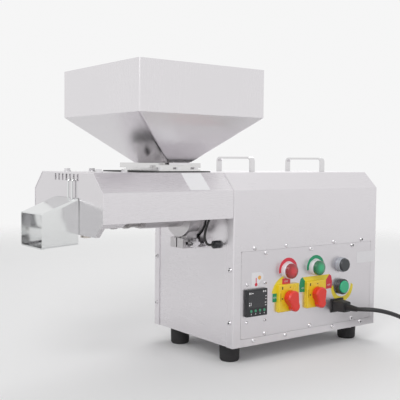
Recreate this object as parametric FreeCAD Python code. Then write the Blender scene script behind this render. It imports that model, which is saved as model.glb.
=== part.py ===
import FreeCAD, Part
import math
import os
from FreeCAD import Placement, Rotation, Vector

# Screw oil press. Millimetres. While modelling, X runs back from the front edge of the cabinet,
# Y runs in from the face of the control panel and Z runs up from the underside of the cabinet.
# Every solid is moved at the end so that the origin is on the floor, at the middle of the machine.

X_AXIS = Vector(1, 0, 0)
Y_AXIS = Vector(0, 1, 0)
Z_AXIS = Vector(0, 0, 1)

# ---- sheet-metal cabinet ----
SHEET = 1.5                 # stainless sheet of covers, panels, chute and hopper
CAB_LENGTH = 369.0
CAB_WIDTH = 247.0
CAB_HEIGHT = 304.0
CHAMFER_Y = 31.0            # 45-degree folds along the top
CHAMFER_Z = 30.0
FOLD_RADIUS = 2.5
EDGE_FLANGE = 17.0          # cover edges folded in at the front and the back
BOTTOM_FLANGE = 16.0        # cover edges folded in at the bottom
BOTTOM_FLANGE_START = 6.0
PLATE = 2.0                 # front and rear plates
FIT_GAP = 0.3               # sheet-metal clearance
PAN_RIM = 12.0
VENT_SLOTS = 9
VENT_PITCH = 11.0
VENT_WIDTH = 4.0
VENT_LENGTH = 90.0

# ---- feet ----
FOOT_HEIGHT = 33.5
FOOT_RADIUS = 18.8
FOOT_TAPER = 1.0
FOOT_INSET_X = 31.0
FOOT_INSET_Y = 46.0
FOOT_RECESS_RADIUS = 8.0
FOOT_RECESS_DEPTH = 22.0

# ---- fasteners: (shank radius, head radius or width over flats, head height, shank length) ----
M3_PAN = (1.5, 2.9, 1.9, 6.0)
M4_PAN = (2.0, 4.0, 2.6, 8.0)
M5_HEX = (2.5, 8.0, 3.5, 8.0)
M6_HEX = (3.0, 10.0, 4.2, 12.0)
HOLE_CLEARANCE = 0.15
WELD_NUT_HEIGHT = 5.0
SCREW_INSET = 9.0           # screws in the folded edges, from the cabinet's side
FRONT_SCREW_HEIGHTS = (44.0, 136.0)
REAR_SCREW_HEIGHTS = (44.0, 136.0, 228.0)
UNDER_SCREWS_X = (60.0, 304.0)
UNDER_SCREWS_Y = 8.0

# ---- control panel ----
WINDOW_X = (17.5, 354.0)
WINDOW_Z = (13.5, 167.5)
WINDOW_GAP = 0.35
FRAME_OUT = 11.5            # backing frame: reach behind the cover
FRAME_IN = 9.0              # and behind the panel
COVER_SCREWS_X = (48.0, 124.0, 247.0, 325.0)
COVER_SCREWS_OUT = 5.0      # from the window's edge, in the cover
PANEL_SCREWS_X = (74.0, 186.0, 299.0)
PANEL_SCREWS_IN = 5.0       # from the window's edge, in the panel
COLUMN_X = (126.0, 196.3, 267.0)
LAMP_ROW_Z = 127.0
SWITCH_ROW_Z = 77.5
START_BUTTON_Z = 84.5
MOUNT_HOLE_RADIUS = 11.2
DEVICE_BODY_RADIUS = 11.0
DEVICE_DEPTH = 34.0
LOCK_RING = (14.0, 5.0)     # radius and thickness of the lock nut behind the panel

LAMP_COLLAR = (14.8, 10.0)  # radius, length
LAMP_LENS = (13.8, 4.0, 5.0)  # radius, cylinder length, dome height
BLACK_BUTTON = (14.0, 9.0, 12.2, 14.0)   # collar radius and length, cap radius and reach
GREEN_BUTTON = (15.0, 10.0, 12.0, 12.8)
BUTTON_TRAVEL = 3.0
CAP_LENGTH = 8.5
CAP_CLEARANCE = 0.3
PLUNGER_RADIUS = 6.0
PLUNGER_REACH = 8.0

SWITCH_PLATE = (50.0, 7.0)  # side and thickness
SWITCH_BODY = (40.0, 45.0)
KNOB_DISC = (12.0, 3.0)
KNOB_GAP = 0.4
KNOB_GRIP = (14.5, 9.5, 15.5, 12.0)  # hub radius, nose radius, nose offset, height above the disc
KNOB_TURNS = (20.0, 8.0)    # how far each nose points away from straight down
KNOB_SPINDLE = 4.0

CONTROLLER_CENTRE = (50.5, 76.5)
CONTROLLER_BEZEL = (48.0, 6.0)
CONTROLLER_BODY = (44.5, 60.0)
KEY_RADIUS = 2.55
KEY_PITCH = 10.1
KEY_COUNT = 4
KEY_DROP = 14.0             # keys below the middle of the controller
KEY_STAND = 0.8
KEY_LENGTH = 3.4
KEY_TRAVEL = 0.6
CONTROLLER_SCREWS = (42.0, 67.0)  # spacing across and up

INLET_CENTRE = (258.0, 49.0)
INLET_FLANGE = (33.0, 26.0, 2.5)
INLET_BODY = (28.0, 20.5, 26.0)
SOCKET = (24.6, 16.8, 18.0)
NOSE = (24.0, 16.2, 16.0)
BLADE = (2.0, 4.4, 13.0)
BLADE_PITCH = 7.0
GRIP_BASE = (27.0, 21.5)
GRIP_TIP = (20.0, 19.0)
GRIP_LENGTH = 24.0
RELIEF_LENGTH = 11.0
RELIEF_RADII = (6.0, 4.6)

# ---- carrying handles ----
HANDLE_X = (102.0, 287.0)
HANDLE_SPAN = 99.5          # between the middles of the legs
HANDLE_WIDTH = 10.5
HANDLE_THICK = 4.0
HANDLE_RISE = 28.5
HANDLE_BEND = 9.0

# ---- arm ----
ARM_LENGTH = 253.5
ARM_BOTTOM = 226.5
ARM_GROOVE = 2.0            # shadow gap between arm and cabinet
ARM_SLEEVE = 12.0
LOWER_CHAMFER_Y = 25.5
LOWER_CHAMFER_Z = 23.5
STRIP_LENGTH = 42.0
STRIP_WIDTH = 10.0
END_SET_BACK = 0.5
END_RETURN = 8.0
VENT_COUNT = 7
END_VENT_PITCH = 13.3
END_VENT_WIDTH = 6.0
END_VENT_HEIGHT = 10.5
ARM_BOLTS_X = (-224.0, -176.5)
ARM_BOLTS_OFF = 55.2        # either side of the press axis
HANGER_PLATE = 3.0
HANGER_MARGIN = 11.0
HANGER_WEB = (24.0, 4.0)    # half width and thickness

# ---- cake chute ----
CHUTE_LENGTH = 60.5
CHUTE_GAP = 0.4
CHUTE_ROOT = (87.5, 188.5, 263.0)  # width, bottom and top
CHUTE_TIP = (80.5, 184.3, 239.0)
CHUTE_CORNER = 4.0
CHUTE_HEM = (4.0, 0.8)      # length and extra thickness of the folded lip
HOOK_RADIUS = 1.5
HOOK_SLOTS = (1, 2)         # vent slots that the chute's hooks pass through
HOOK_BEND = 4.0
HOOK_REACH = 9.5
HOOK_DROP = 5.0
HOOK_STAND = 3.0            # wire in front of the end plate, at its middle
HOOK_SEAT = 0.3

# ---- press head, turned about the press axis ----
AXIS_Z = 228.0
SCREW_RADIUS = 16.0
SCREW_CLEARANCE = 0.4
SHAFT_RADIUS = 10.0
RUNNING_FIT = 0.06
FEED_ROOT_RADIUS = 9.5
PRESS_ROOT_RADIUS = 11.5
FEED_PITCH = 24.0
PRESS_PITCH = 15.0
FLIGHT_ROOT = 5.5
FLIGHT_TIP = 3.2
TIP_RADIUS = 8.0
HEX_TAIL = 17.0             # width over flats
HEX_FIT = 0.3

CLAMP_FRONT = -25.0         # X stations along the press axis
CLAMP_FACE = -3.0
CLAMP_FLANGE_BACK = 6.0
CLAMP_SEAT = 0.0
CHAMBER_FLANGE = 6.0
CHAMBER_START = CLAMP_FRONT - CHAMBER_FLANGE
THROAT_X = -67.0
CAGE_START = -112.0
CAGE_END = -194.0
SPIGOT = 6.0
NOZZLE_END = -236.0
CHOKE_LENGTH = 10.0

CLAMP_RADIUS = 38.0
CLAMP_FLANGE_RADIUS = 43.0
CLAMP_NECK = 34.0
CLAMP_REAR_RADIUS = 52.0
CLAMP_REAR_FLANGE = 8.0
CLAMP_BOLT_CIRCLE = 43.0
PLATE_HOLE_RADIUS = 46.0
SPIGOT_RADIUS = 30.0
CHAMBER_FLANGE_RADIUS = 42.0
CHAMBER_RADIUS = 23.8
CAGE_SPIGOT_RADIUS = 18.8
CAGE_RADIUS = 20.5
CAGE_RIB_RADIUS = 22.3
CAGE_RIBS = 4
CAGE_RIB_WIDTH = 7.0
CAGE_SLOT_ROWS = 14
CAGE_SLOT_WIDTH = 1.4
CAGE_SLOT_END = 1.5         # metal left beside each rib
NOZZLE_RADIUS = 22.3
NOZZLE_BORE = 12.5
CHOKE_RADIUS = 22.3
CHOKE_WALL = 3.5
CAKE_HOLE_RADIUS = 27.0
CHOKE_FLUTES = 12
HEATER_THICK = 3.5
HEATER_SPAN = (-228.0, -208.0)
HEATER_BOX = (12.0, 13.0, 15.0)
HEATER_SUNK = 4.0
WEB_START = -206.0

THROAT_OUTER = (52.0, 46.0)
THROAT_INNER = (40.0, 32.0)
LUG_WIDTH = 18.5
LUG_SPLIT = 3.0
LUG_FRONT = -33.0
LUG_Z = (166.0, 184.0)
CLAMP_BOLT_X = -12.0
CLAMP_BOLT_RADIUS = 4.0
CLAMP_KNOB = (9.5, 12.0)    # radius and length
CLAMP_KNOB_LOBES = 5
CLAMP_BOLT_REACH = 8.0
PIN_HOLE_X = -24.0

# ---- gate and hopper ----
GASKET = (-150.0, -6.0, 63.5, 2.0)  # X from and to, half width, thickness
GUIDE_LENGTH = 87.0
GUIDE_HALF = 57.5
GUIDE_PLATE = 5.0
GUIDE_BOLTS = 3
GUIDE_BOLT_EDGE = 6.0
RAIL_OUTER = 47.5           # half widths from the press axis
RAIL_INNER = 39.0
RAIL_HEIGHT = 5.0
PAD_HEIGHT = 9.2
GATE_X = (-130.0, -9.0)
GATE_HALF = 38.5
GATE_DEPTH = 8.6
GATE_RUN_GAP = 0.3
GATE_TRAVEL = 80.0
GATE_GRIP_RADIUS = 9.0
HOPPER_SIDE = (256.0, 258.0)
HOPPER_WALL = 82.5
HOPPER_PYRAMID = 79.3
HOPPER_OUTLET = (49.0, 111.0)
HOPPER_CORNER = 4.0
SKIRT = 3.6

# ---- drive ----
GEAR_MODULE = 2.0
WHEEL_TEETH = 56
PINION_TEETH = 14
ADDENDUM = 0.8
DEDENDUM = 1.1
BACKLASH = 0.25
PRESSURE_ANGLE = math.radians(20)
WHEEL_RADIUS = GEAR_MODULE * (WHEEL_TEETH / 2 + ADDENDUM)
CENTRE_DISTANCE = GEAR_MODULE * (WHEEL_TEETH + PINION_TEETH) / 2
GEAR_FACE = 14.0
BEARING_RADIUS = 21.0
BEARING_WIDTH = 12.0
BOSS_WALL = 7.0
SEAT_WALL = 1.5             # metal left behind a bearing
CASE_FRONT = 32.0
CASE_WALL = 8.0
CASE_SKIN = 5.0
CASE_ROOM = 4.5
OUTPUT_GEAR_X = 60.0
INPUT_GEAR_X = 78.0
CASE_END = 96.0
COVER_PLATE = 10.0
SOCKET_RADIUS = 19.0
MOTOR_RADIUS = 61.0
FIN_HEIGHT = 5.0
FIN_COUNT = 24
FIN_THICK = 2.2
STATOR_BORE = 40.6
ROTOR_RADIUS = 40.0
MOTOR_END = 252.0
STATOR_X = (122.0, 220.0)
FAN_X = 258.0
FAN_RADIUS = 54.0
FAN_WIDTH = 14.0
FAN_BLADES = 7
COWL_WALL = 1.5
COWL_END = 290.0
COWL_SLOTS = 5
COWL_SLOT = (5.0, 11.0)     # width and pitch
BRACKET_PLATE = 4.0
BRACKET_HALF = 52.0
BRACKET_WEBS = (46.0, 84.0)
BRACKET_WEB = 6.0
BRACKET_FOOT = (40.0, 96.0)

# ---- cords ----
CORD_RADIUS = 4.0
CORD_POINTS = [(258, -37.8, 49), (258, -52, 49), (262.5, -66, 50.8), (272.5, -78, 51), (286.5, -87.5, 48.4),
               (303, -94, 43.6), (321, -99, 36.6), (340, -103, 27.4), (359, -106, 16.4), (378, -108, 4.2),
               (398, -109.5, -7.6), (419, -111, -17.6), (441, -112.5, -24.6), (464, -114, -28.6), (486, -115, -29.5)]
COIL_RADIUS = 48.0
COIL_TURNS = (2, 2)         # side by side and on top of each other
CABLE_RADIUS = 2.2
CABLE_POINTS = [(-8, 48, 177), (-20, 48, 177), (-28, 47, 190), (-25, 46, 207), (-18, 45, 224),
                (-14, 44, 243), (-21, 43, 262), (-39, 43, 273), (-62, 44, 275), (-90, 47, 272),
                (-120, 54, 264), (-148, 64, 252), (-172, 80, 239), (-190, 94.2, 228)]
GLAND = (7.0, 9.5)          # radius and reach
PLUG_BODY = (24.0, 42.0)    # diameter and length
PLUG_RELIEF = 28.0
PLUG_TAIL = 12.0
PLUG_PIN = (2.4, 19.0, 9.5)

# ---- derived places ----
AXIS_Y = CAB_WIDTH / 2
ROOF_Z = CAB_HEIGHT
FLOOR_Z = -FOOT_HEIGHT
LAY_Z = AXIS_Z - CENTRE_DISTANCE
REAR_BEARING_X = CASE_END + COVER_PLATE - SEAT_WALL - BEARING_WIDTH
CHUTE_ROOT_X = -ARM_LENGTH - CHUTE_GAP
CHUTE_TIP_X = CHUTE_ROOT_X - CHUTE_LENGTH
GUIDE_BOTTOM = ROOF_Z + GASKET[3]
GUIDE_TOP = GUIDE_BOTTOM + GUIDE_PLATE
HOPPER_SEAT = GUIDE_TOP + PAD_HEIGHT
HOPPER_SHOULDER = HOPPER_SEAT + HOPPER_PYRAMID
KNOB_REACH = SWITCH_PLATE[1] + KNOB_GAP + KNOB_DISC[1] + KNOB_GRIP[3]
ORIGIN = Vector((CHUTE_TIP_X + CAB_LENGTH + M4_PAN[2]) / 2,
                (AXIS_Y + HOPPER_SIDE[1] / 2 - KNOB_REACH) / 2, FLOOR_Z)


# ---- geometry helpers ----
def block(x_span, y_span, z_span):
    corner = Vector(x_span[0], y_span[0], z_span[0])
    return Part.makeBox(x_span[1] - x_span[0], y_span[1] - y_span[0], z_span[1] - z_span[0], corner)


def around(middle, size):
    return (middle - size / 2, middle + size / 2)


def rod(start, direction, radius, length):
    return Part.makeCylinder(radius, length, start, direction)


def place(shape, base, direction):
    shape = shape.copy()
    shape.Placement = Placement(base, Rotation(Z_AXIS, direction))
    return shape


def face_of(points):
    return Part.Face(Part.makePolygon(points + points[:1]))


def turned(profile, base, direction):
    """Solid turned from (distance along the axis, radius) pairs."""
    face = face_of([Vector(radius, 0, along) for along, radius in profile])
    return place(face.revolve(Vector(0, 0, 0), Z_AXIS, 360), base, direction)


def turned_on_axis(profile):
    """Solid turned about the press axis from (X, radius) pairs."""
    return turned(profile, Vector(0, AXIS_Y, AXIS_Z), X_AXIS)


def prism_x(points, x_span):
    face = face_of([Vector(x_span[0], y, z) for y, z in points])
    return face.extrude(Vector(x_span[1] - x_span[0], 0, 0))


def prism_y(points, y_span):
    face = face_of([Vector(x, y_span[0], z) for x, z in points])
    return face.extrude(Vector(0, y_span[1] - y_span[0], 0))


def joined(shapes):
    return shapes[0].multiFuse(shapes[1:]).removeSplitter() if len(shapes) > 1 else shapes[0]


def without(shape, tools):
    return shape.cut(joined(tools)) if tools else shape


def inset_outline(points, distance):
    """The same convex outline, given clockwise in (Y, Z), moved inwards by a distance."""
    moved = []
    count = len(points)
    for index in range(count):
        before, here, after = points[index - 1], points[index], points[(index + 1) % count]
        first = (here[0] - before[0], here[1] - before[1])
        second = (after[0] - here[0], after[1] - here[1])
        first_length, second_length = math.hypot(*first), math.hypot(*second)
        first = (first[0] / first_length, first[1] / first_length)
        second = (second[0] / second_length, second[1] / second_length)
        scale = distance / (1 + first[0] * second[0] + first[1] * second[1])
        moved.append((here[0] + scale * (first[1] + second[1]), here[1] - scale * (first[0] + second[0])))
    return moved


def roof_outline(bottom):
    side_top = CAB_HEIGHT - CHAMFER_Z
    return [(0, bottom), (0, side_top), (CHAMFER_Y, CAB_HEIGHT), (CAB_WIDTH - CHAMFER_Y, CAB_HEIGHT),
            (CAB_WIDTH, side_top), (CAB_WIDTH, bottom)]


def rounded_rectangle(width, depth, radius, to_point):
    """Closed wire of a rectangle with rounded corners; to_point turns (u, v) into a Vector."""
    half_u, half_v = width / 2 - radius, depth / 2 - radius
    diagonal = radius * math.sqrt(0.5)
    edges = []
    corners = ((1, 1), (-1, 1), (-1, -1), (1, -1))
    for number, (side_u, side_v) in enumerate(corners):
        u, v = side_u * half_u, side_v * half_v
        ends = [(u + side_u * radius, v), (u, v + side_v * radius)]
        if number % 2:
            ends.reverse()
        middle = (u + side_u * diagonal, v + side_v * diagonal)
        edges.append(Part.Arc(to_point(*ends[0]), to_point(*middle), to_point(*ends[1])).toShape())
        following = corners[(number + 1) % 4]
        next_u, next_v = following[0] * half_u, following[1] * half_v
        start = (next_u + following[0] * radius, next_v)
        if number % 2 == 0:
            start = (next_u, next_v + following[1] * radius)
        edges.append(Part.makeLine(to_point(*ends[1]), to_point(*start)))
    return Part.Wire(edges)


def loft(first_wire, second_wire):
    return Part.makeLoft([first_wire, second_wire], True, True)


def pan_screw(base, outward, size):
    """Pan-head screw: its head sits on base, its shank points the other way."""
    shank, head, height, length = size
    profile = [(-length, 0), (-length, shank), (0, shank), (0, head), (0.35 * height, head),
               (0.75 * height, 0.8 * head), (height, 0.45 * head), (height, 0)]
    return turned(profile, base, outward)


def hex_prism(base, direction, across, height):
    radius = across / 2 / math.cos(math.pi / 6)
    corners = [Vector(radius * math.cos(k * math.pi / 3), radius * math.sin(k * math.pi / 3), 0)
               for k in range(6)]
    return place(face_of(corners).extrude(Vector(0, 0, height)), base, direction)


def hex_bolt(base, outward, size):
    shank, across, height, length = size
    return joined([hex_prism(base, outward, across, height), rod(base - outward * length, outward,
                                                                 shank, length)])


def holes(places, direction, radius, depth):
    """Round tools centred on places, for cutting clearance holes through a sheet."""
    return [rod(at - direction * depth, direction, radius, 2 * depth) for at in places]


def cord_path(points):
    """Straight runs joined by tangent arcs, each as large as its two runs allow."""
    points = [Vector(*point) for point in points]
    edges = []
    radii = []
    start = points[0]
    for before, corner, after in zip(points, points[1:], points[2:]):
        towards = (corner - before).normalize()
        away = (after - corner).normalize()
        half_turn = towards.getAngle(away) / 2
        reach = 0.45 * min((corner - before).Length, (after - corner).Length)
        radii.append(reach / math.tan(half_turn))
        arc_start = corner - towards * reach
        arc_end = corner + away * reach
        bisector = (away - towards).normalize()
        rise = radii[-1] * (1 / math.cos(half_turn) - 1)
        edges.append(Part.LineSegment(start, arc_start).toShape())
        edges.append(Part.Arc(arc_start, corner + bisector * rise, arc_end).toShape())
        start = arc_end
    edges.append(Part.LineSegment(start, points[-1]).toShape())
    return Part.Wire(edges), radii


def swept_tube(wire, radius):
    start = wire.Edges[0].valueAt(wire.Edges[0].FirstParameter)
    heading = wire.Edges[0].tangentAt(wire.Edges[0].FirstParameter)
    section = Part.Wire([Part.Circle(start, heading, radius).toShape()])
    return wire.makePipeShell([section], True, False)


# ---- cabinet ----
def folded_cover(x_span, bottom):
    outer = prism_x(roof_outline(bottom), x_span)
    inner = prism_x(inset_outline(roof_outline(bottom - 2 * SHEET), SHEET), x_span)
    return outer.cut(inner)


def edge_flange(x_span):
    outer = prism_x(roof_outline(0), x_span)
    inner = prism_x(inset_outline(roof_outline(-2 * EDGE_FLANGE), EDGE_FLANGE), x_span)
    return outer.cut(inner)


def rounded_front(shape, x):
    """Round the outer bend between a cover's skin and its folded front or rear edge."""
    outline = roof_outline(0)
    edges = []
    for edge in shape.Edges:
        ends = [vertex.Point for vertex in edge.Vertexes]
        if len(ends) != 2 or max(abs(end.x - x) for end in ends) > 0.01:
            continue
        on_outline = all(min(math.hypot(end.y - y, end.z - z) for y, z in outline) < 0.01 for end in ends)
        if on_outline and abs(ends[0].z) + abs(ends[1].z) > 1:
            edges.append(edge)
    return shape.makeFillet(FOLD_RADIUS, edges)


def window(grow):
    return ((WINDOW_X[0] - grow, WINDOW_X[1] + grow), (WINDOW_Z[0] - grow, WINDOW_Z[1] + grow))


def cover_screw_places():
    z_values = (WINDOW_Z[0] - COVER_SCREWS_OUT, WINDOW_Z[1] + COVER_SCREWS_OUT)
    return [Vector(x, 0, z) for x in COVER_SCREWS_X for z in z_values]


def panel_screw_places():
    z_values = (WINDOW_Z[0] + PANEL_SCREWS_IN, WINDOW_Z[1] - PANEL_SCREWS_IN)
    return [Vector(x, 0, z) for x in PANEL_SCREWS_X for z in z_values]


def edge_screw_places(x, heights):
    return [Vector(x, y, z) for y in (SCREW_INSET, CAB_WIDTH - SCREW_INSET) for z in heights]


def under_screw_places():
    return [Vector(x, y, 0) for x in UNDER_SCREWS_X for y in (UNDER_SCREWS_Y, CAB_WIDTH - UNDER_SCREWS_Y)]


def clamp_flange_bolt_places():
    """Bolts that hold the clamp housing's rear flange on the gearbox."""
    reach = CLAMP_BOLT_CIRCLE * math.sqrt(0.5)
    return [Vector(CASE_FRONT - CLAMP_REAR_FLANGE, AXIS_Y + i * reach, AXIS_Z + k * reach)
            for i in (-1, 1) for k in (-1, 1)]


def foot_places():
    return [Vector(x, y, SHEET) for x in (FOOT_INSET_X, CAB_LENGTH - FOOT_INSET_X)
            for y in (FOOT_INSET_Y, CAB_WIDTH - FOOT_INSET_Y)]


def bracket_bolt_places():
    return [Vector(x, AXIS_Y + side * (BRACKET_HALF - 10), 0) for x in (65.0,) for side in (-1, 1)]


def housing_cover():
    clear = M4_PAN[0] + HOLE_CLEARANCE
    cover = joined([folded_cover((0, CAB_LENGTH), 0), edge_flange((0, SHEET)),
                    edge_flange((CAB_LENGTH - SHEET, CAB_LENGTH))])
    cover = rounded_front(rounded_front(cover, 0), CAB_LENGTH)
    lips = [block((BOTTOM_FLANGE_START, CAB_LENGTH - BOTTOM_FLANGE_START), y_span, (0, SHEET))
            for y_span in ((0, BOTTOM_FLANGE), (CAB_WIDTH - BOTTOM_FLANGE, CAB_WIDTH))]
    cover = joined([cover] + lips)
    x_span, z_span = window(0)
    cuts = [block(x_span, (-1, SHEET + 1), z_span)]
    cuts += holes(cover_screw_places(), Y_AXIS, clear, 2 * SHEET)
    cuts += holes(edge_screw_places(0, FRONT_SCREW_HEIGHTS), X_AXIS, clear, 2 * SHEET)
    cuts += holes(edge_screw_places(CAB_LENGTH, REAR_SCREW_HEIGHTS), X_AXIS, clear, 2 * SHEET)
    cuts += holes(under_screw_places(), Z_AXIS, clear, 2 * SHEET)
    return without(cover, cuts)


def base_pan():
    clear = M4_PAN[0] + HOLE_CLEARANCE
    ends = SHEET + PLATE + FIT_GAP
    x_span = (ends, CAB_LENGTH - ends)
    y_span = (SHEET + FIT_GAP, CAB_WIDTH - SHEET - FIT_GAP)
    pan = block(x_span, y_span, (SHEET, SHEET + PAN_RIM))
    pan = pan.cut(block((x_span[0] + SHEET, x_span[1] - SHEET), (y_span[0] + SHEET, y_span[1] - SHEET),
                        (2 * SHEET, SHEET + PAN_RIM + 1)))
    nuts = [hex_prism(at + Z_AXIS * SHEET, Z_AXIS, M6_HEX[1], WELD_NUT_HEIGHT) for at in foot_places()]
    pan = joined([pan] + nuts)
    cuts = holes(foot_places(), Z_AXIS, M6_HEX[0] + HOLE_CLEARANCE, 2 * WELD_NUT_HEIGHT)
    cuts += holes(under_screw_places(), Z_AXIS, clear, 4 * SHEET)
    cuts += holes(bracket_bolt_places(), Z_AXIS, M6_HEX[0] + HOLE_CLEARANCE, 4 * SHEET)
    cuts += holes([at for at in cover_screw_places() if at.z < WINDOW_Z[0]], Y_AXIS, clear, 4 * SHEET)
    return without(pan, cuts)


def end_plate_blank(x_span):
    return prism_x(inset_outline(roof_outline(-SHEET - FIT_GAP), SHEET + FIT_GAP), x_span)


def front_plate():
    x_span = (SHEET, SHEET + PLATE)
    plate = end_plate_blank(x_span)
    cuts = holes(edge_screw_places(0, FRONT_SCREW_HEIGHTS), X_AXIS, M4_PAN[0] + HOLE_CLEARANCE, 4 * PLATE)
    cuts += holes([Vector(SHEET, AXIS_Y, AXIS_Z)], X_AXIS, PLATE_HOLE_RADIUS, 2 * PLATE)
    cuts += holes([Vector(SHEET, CABLE_POINTS[0][1], CABLE_POINTS[0][2])], X_AXIS,
                  GLAND[0] - 1.5, 2 * PLATE)
    return without(plate, cuts)


def rear_plate():
    x_span = (CAB_LENGTH - SHEET - PLATE, CAB_LENGTH - SHEET)
    plate = end_plate_blank(x_span)
    vents = []
    for row in range(VENT_SLOTS):
        z = AXIS_Z + (row - (VENT_SLOTS - 1) / 2) * VENT_PITCH
        vents.append(block((x_span[0] - 1, x_span[1] + 1), around(AXIS_Y, VENT_LENGTH),
                           around(z, VENT_WIDTH)))
    cuts = holes(edge_screw_places(CAB_LENGTH, REAR_SCREW_HEIGHTS), X_AXIS,
                 M4_PAN[0] + HOLE_CLEARANCE, 4 * PLATE)
    return without(plate, vents + cuts)


def panel_frame():
    outer_x, outer_z = window(FRAME_OUT)
    inner_x, inner_z = window(-FRAME_IN)
    y_span = (SHEET, SHEET + PLATE)
    bottom = SHEET + PAN_RIM + FIT_GAP
    frame = block(outer_x, y_span, (bottom, outer_z[1])).cut(block(inner_x, (0, 2 * PLATE + SHEET), inner_z))
    upper = [at for at in cover_screw_places() if at.z > WINDOW_Z[1]]
    return without(frame, holes(upper + panel_screw_places(), Y_AXIS, M4_PAN[0] + HOLE_CLEARANCE, 4 * PLATE))


def device_places():
    left, middle, right = COLUMN_X
    return [(left, LAMP_ROW_Z), (middle, LAMP_ROW_Z), (right, LAMP_ROW_Z), (right, START_BUTTON_Z),
            (left, SWITCH_ROW_Z), (middle, SWITCH_ROW_Z)]


def controller_screw_places():
    across, up = CONTROLLER_SCREWS
    x_mid, z_mid = CONTROLLER_CENTRE
    return [Vector(x_mid + 2 + i * across / 2, 0, z_mid - 0.8 + k * up / 2) for i in (-1, 1) for k in (-1, 1)]


def control_panel():
    x_span, z_span = window(-WINDOW_GAP)
    panel = block(x_span, (0, SHEET), z_span)
    corners = [edge for edge in panel.Edges if abs(edge.Length - SHEET) < 0.01]
    panel = panel.makeFillet(2 * SHEET, corners)
    cuts = [rod(Vector(x, -1, z), Y_AXIS, MOUNT_HOLE_RADIUS, SHEET + 2) for x, z in device_places()]
    cutout = CONTROLLER_BODY[0] + FIT_GAP
    cuts.append(block(around(CONTROLLER_CENTRE[0], cutout), (-1, SHEET + 1), around(CONTROLLER_CENTRE[1], cutout)))
    cuts.append(block(around(INLET_CENTRE[0], INLET_BODY[0] + FIT_GAP), (-1, SHEET + 1),
                      around(INLET_CENTRE[1], INLET_BODY[1] + FIT_GAP)))
    cuts += holes(panel_screw_places(), Y_AXIS, M4_PAN[0] + HOLE_CLEARANCE, 2 * SHEET)
    cuts += holes(controller_screw_places(), Y_AXIS, M3_PAN[0] + HOLE_CLEARANCE, 2 * SHEET)
    return without(panel, cuts)


def housing_screws():
    front = [pan_screw(at, -Y_AXIS, M4_PAN) for at in cover_screw_places() + panel_screw_places()]
    front += [pan_screw(at, -X_AXIS, M4_PAN) for at in edge_screw_places(0, FRONT_SCREW_HEIGHTS)]
    front += [pan_screw(at, X_AXIS, M4_PAN) for at in edge_screw_places(CAB_LENGTH, REAR_SCREW_HEIGHTS)]
    front += [pan_screw(at, -Z_AXIS, M4_PAN) for at in under_screw_places()]
    front += [pan_screw(at, -Y_AXIS, M3_PAN) for at in controller_screw_places()]
    return Part.makeCompound(front)


def rubber_feet():
    height = FOOT_HEIGHT + SHEET
    bore = M6_HEX[0] + HOLE_CLEARANCE
    profile = [(0, FOOT_RADIUS), (3 - height, FOOT_RADIUS - FOOT_TAPER), (-height, FOOT_RADIUS - FOOT_TAPER - 2),
               (-height, FOOT_RECESS_RADIUS), (FOOT_RECESS_DEPTH - height, FOOT_RECESS_RADIUS),
               (FOOT_RECESS_DEPTH - height, bore), (0, bore)]
    return Part.makeCompound([turned(profile, at, Z_AXIS) for at in foot_places()])


def frame_bolts():
    seat = FOOT_RECESS_DEPTH - FOOT_HEIGHT - SHEET
    shank = (M6_HEX[0], M6_HEX[1], M6_HEX[2], SHEET - seat + WELD_NUT_HEIGHT - 2)
    bolts = [hex_bolt(at + Z_AXIS * seat, -Z_AXIS, shank) for at in foot_places()]
    bolts += [hex_bolt(at + Z_AXIS * SHEET, -Z_AXIS, M6_HEX) for at in bracket_bolt_places()]
    bolts += [hex_bolt(at, -X_AXIS, M6_HEX) for at in clamp_flange_bolt_places()]
    return Part.makeCompound(bolts)


def carry_handles():
    handles = []
    half = HANDLE_SPAN / 2 + HANDLE_THICK / 2
    for x in HANDLE_X:
        outer = block(around(x, HANDLE_WIDTH), around(AXIS_Y, 2 * half), (ROOF_Z, ROOF_Z + HANDLE_RISE))
        inner = block(around(x, 2 * HANDLE_WIDTH), around(AXIS_Y, 2 * (half - HANDLE_THICK)),
                      (ROOF_Z - 1, ROOF_Z + HANDLE_RISE - HANDLE_THICK))
        outer = round_handle(outer, HANDLE_BEND, ROOF_Z + HANDLE_RISE)
        inner = round_handle(inner, HANDLE_BEND - HANDLE_THICK, ROOF_Z + HANDLE_RISE - HANDLE_THICK)
        handles.append(outer.cut(inner))
    return Part.makeCompound(handles)


def round_handle(bar, radius, top):
    edges = [edge for edge in bar.Edges
             if all(abs(vertex.Z - top) < 0.01 for vertex in edge.Vertexes)
             and abs(edge.Vertexes[0].X - edge.Vertexes[1].X) > 1]
    return bar.makeFillet(radius, edges)


# ---- controls ----
def device_body(x, z, back):
    """Threaded body and lock nut of a panel device, from the panel's face backwards."""
    return [rod(Vector(x, 0, z), Y_AXIS, DEVICE_BODY_RADIUS, back),
            rod(Vector(x, SHEET, z), Y_AXIS, LOCK_RING[0], LOCK_RING[1])]


def lamp_collars():
    radius, length = LAMP_COLLAR
    seat = LAMP_LENS[0] - 2
    collars = []
    for x in COLUMN_X[:2]:
        profile = [(0, 0), (0, radius), (length - 1.2, radius), (length, radius - 1.2), (length, seat),
                   (length - 4, seat), (length - 4, 0)]
        collar = turned(profile, Vector(x, 0, LAMP_ROW_Z), -Y_AXIS)
        collars.append(joined([collar] + device_body(x, LAMP_ROW_Z, DEVICE_DEPTH)))
    return Part.makeCompound(collars)


def lamp_lens(x):
    radius, straight, dome = LAMP_LENS
    seat = radius - 2
    front = LAMP_COLLAR[1]
    profile = [(front - 4, 0), (front - 4, seat), (front, seat), (front, radius), (front + straight, radius)]
    for step in range(1, 6):
        angle = math.radians(step * 15)
        profile.append((front + straight + dome * math.sin(angle), radius * math.cos(angle)))
    profile.append((front + straight + dome, 0))
    return turned(profile, Vector(x, 0, LAMP_ROW_Z), -Y_AXIS)


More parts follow.
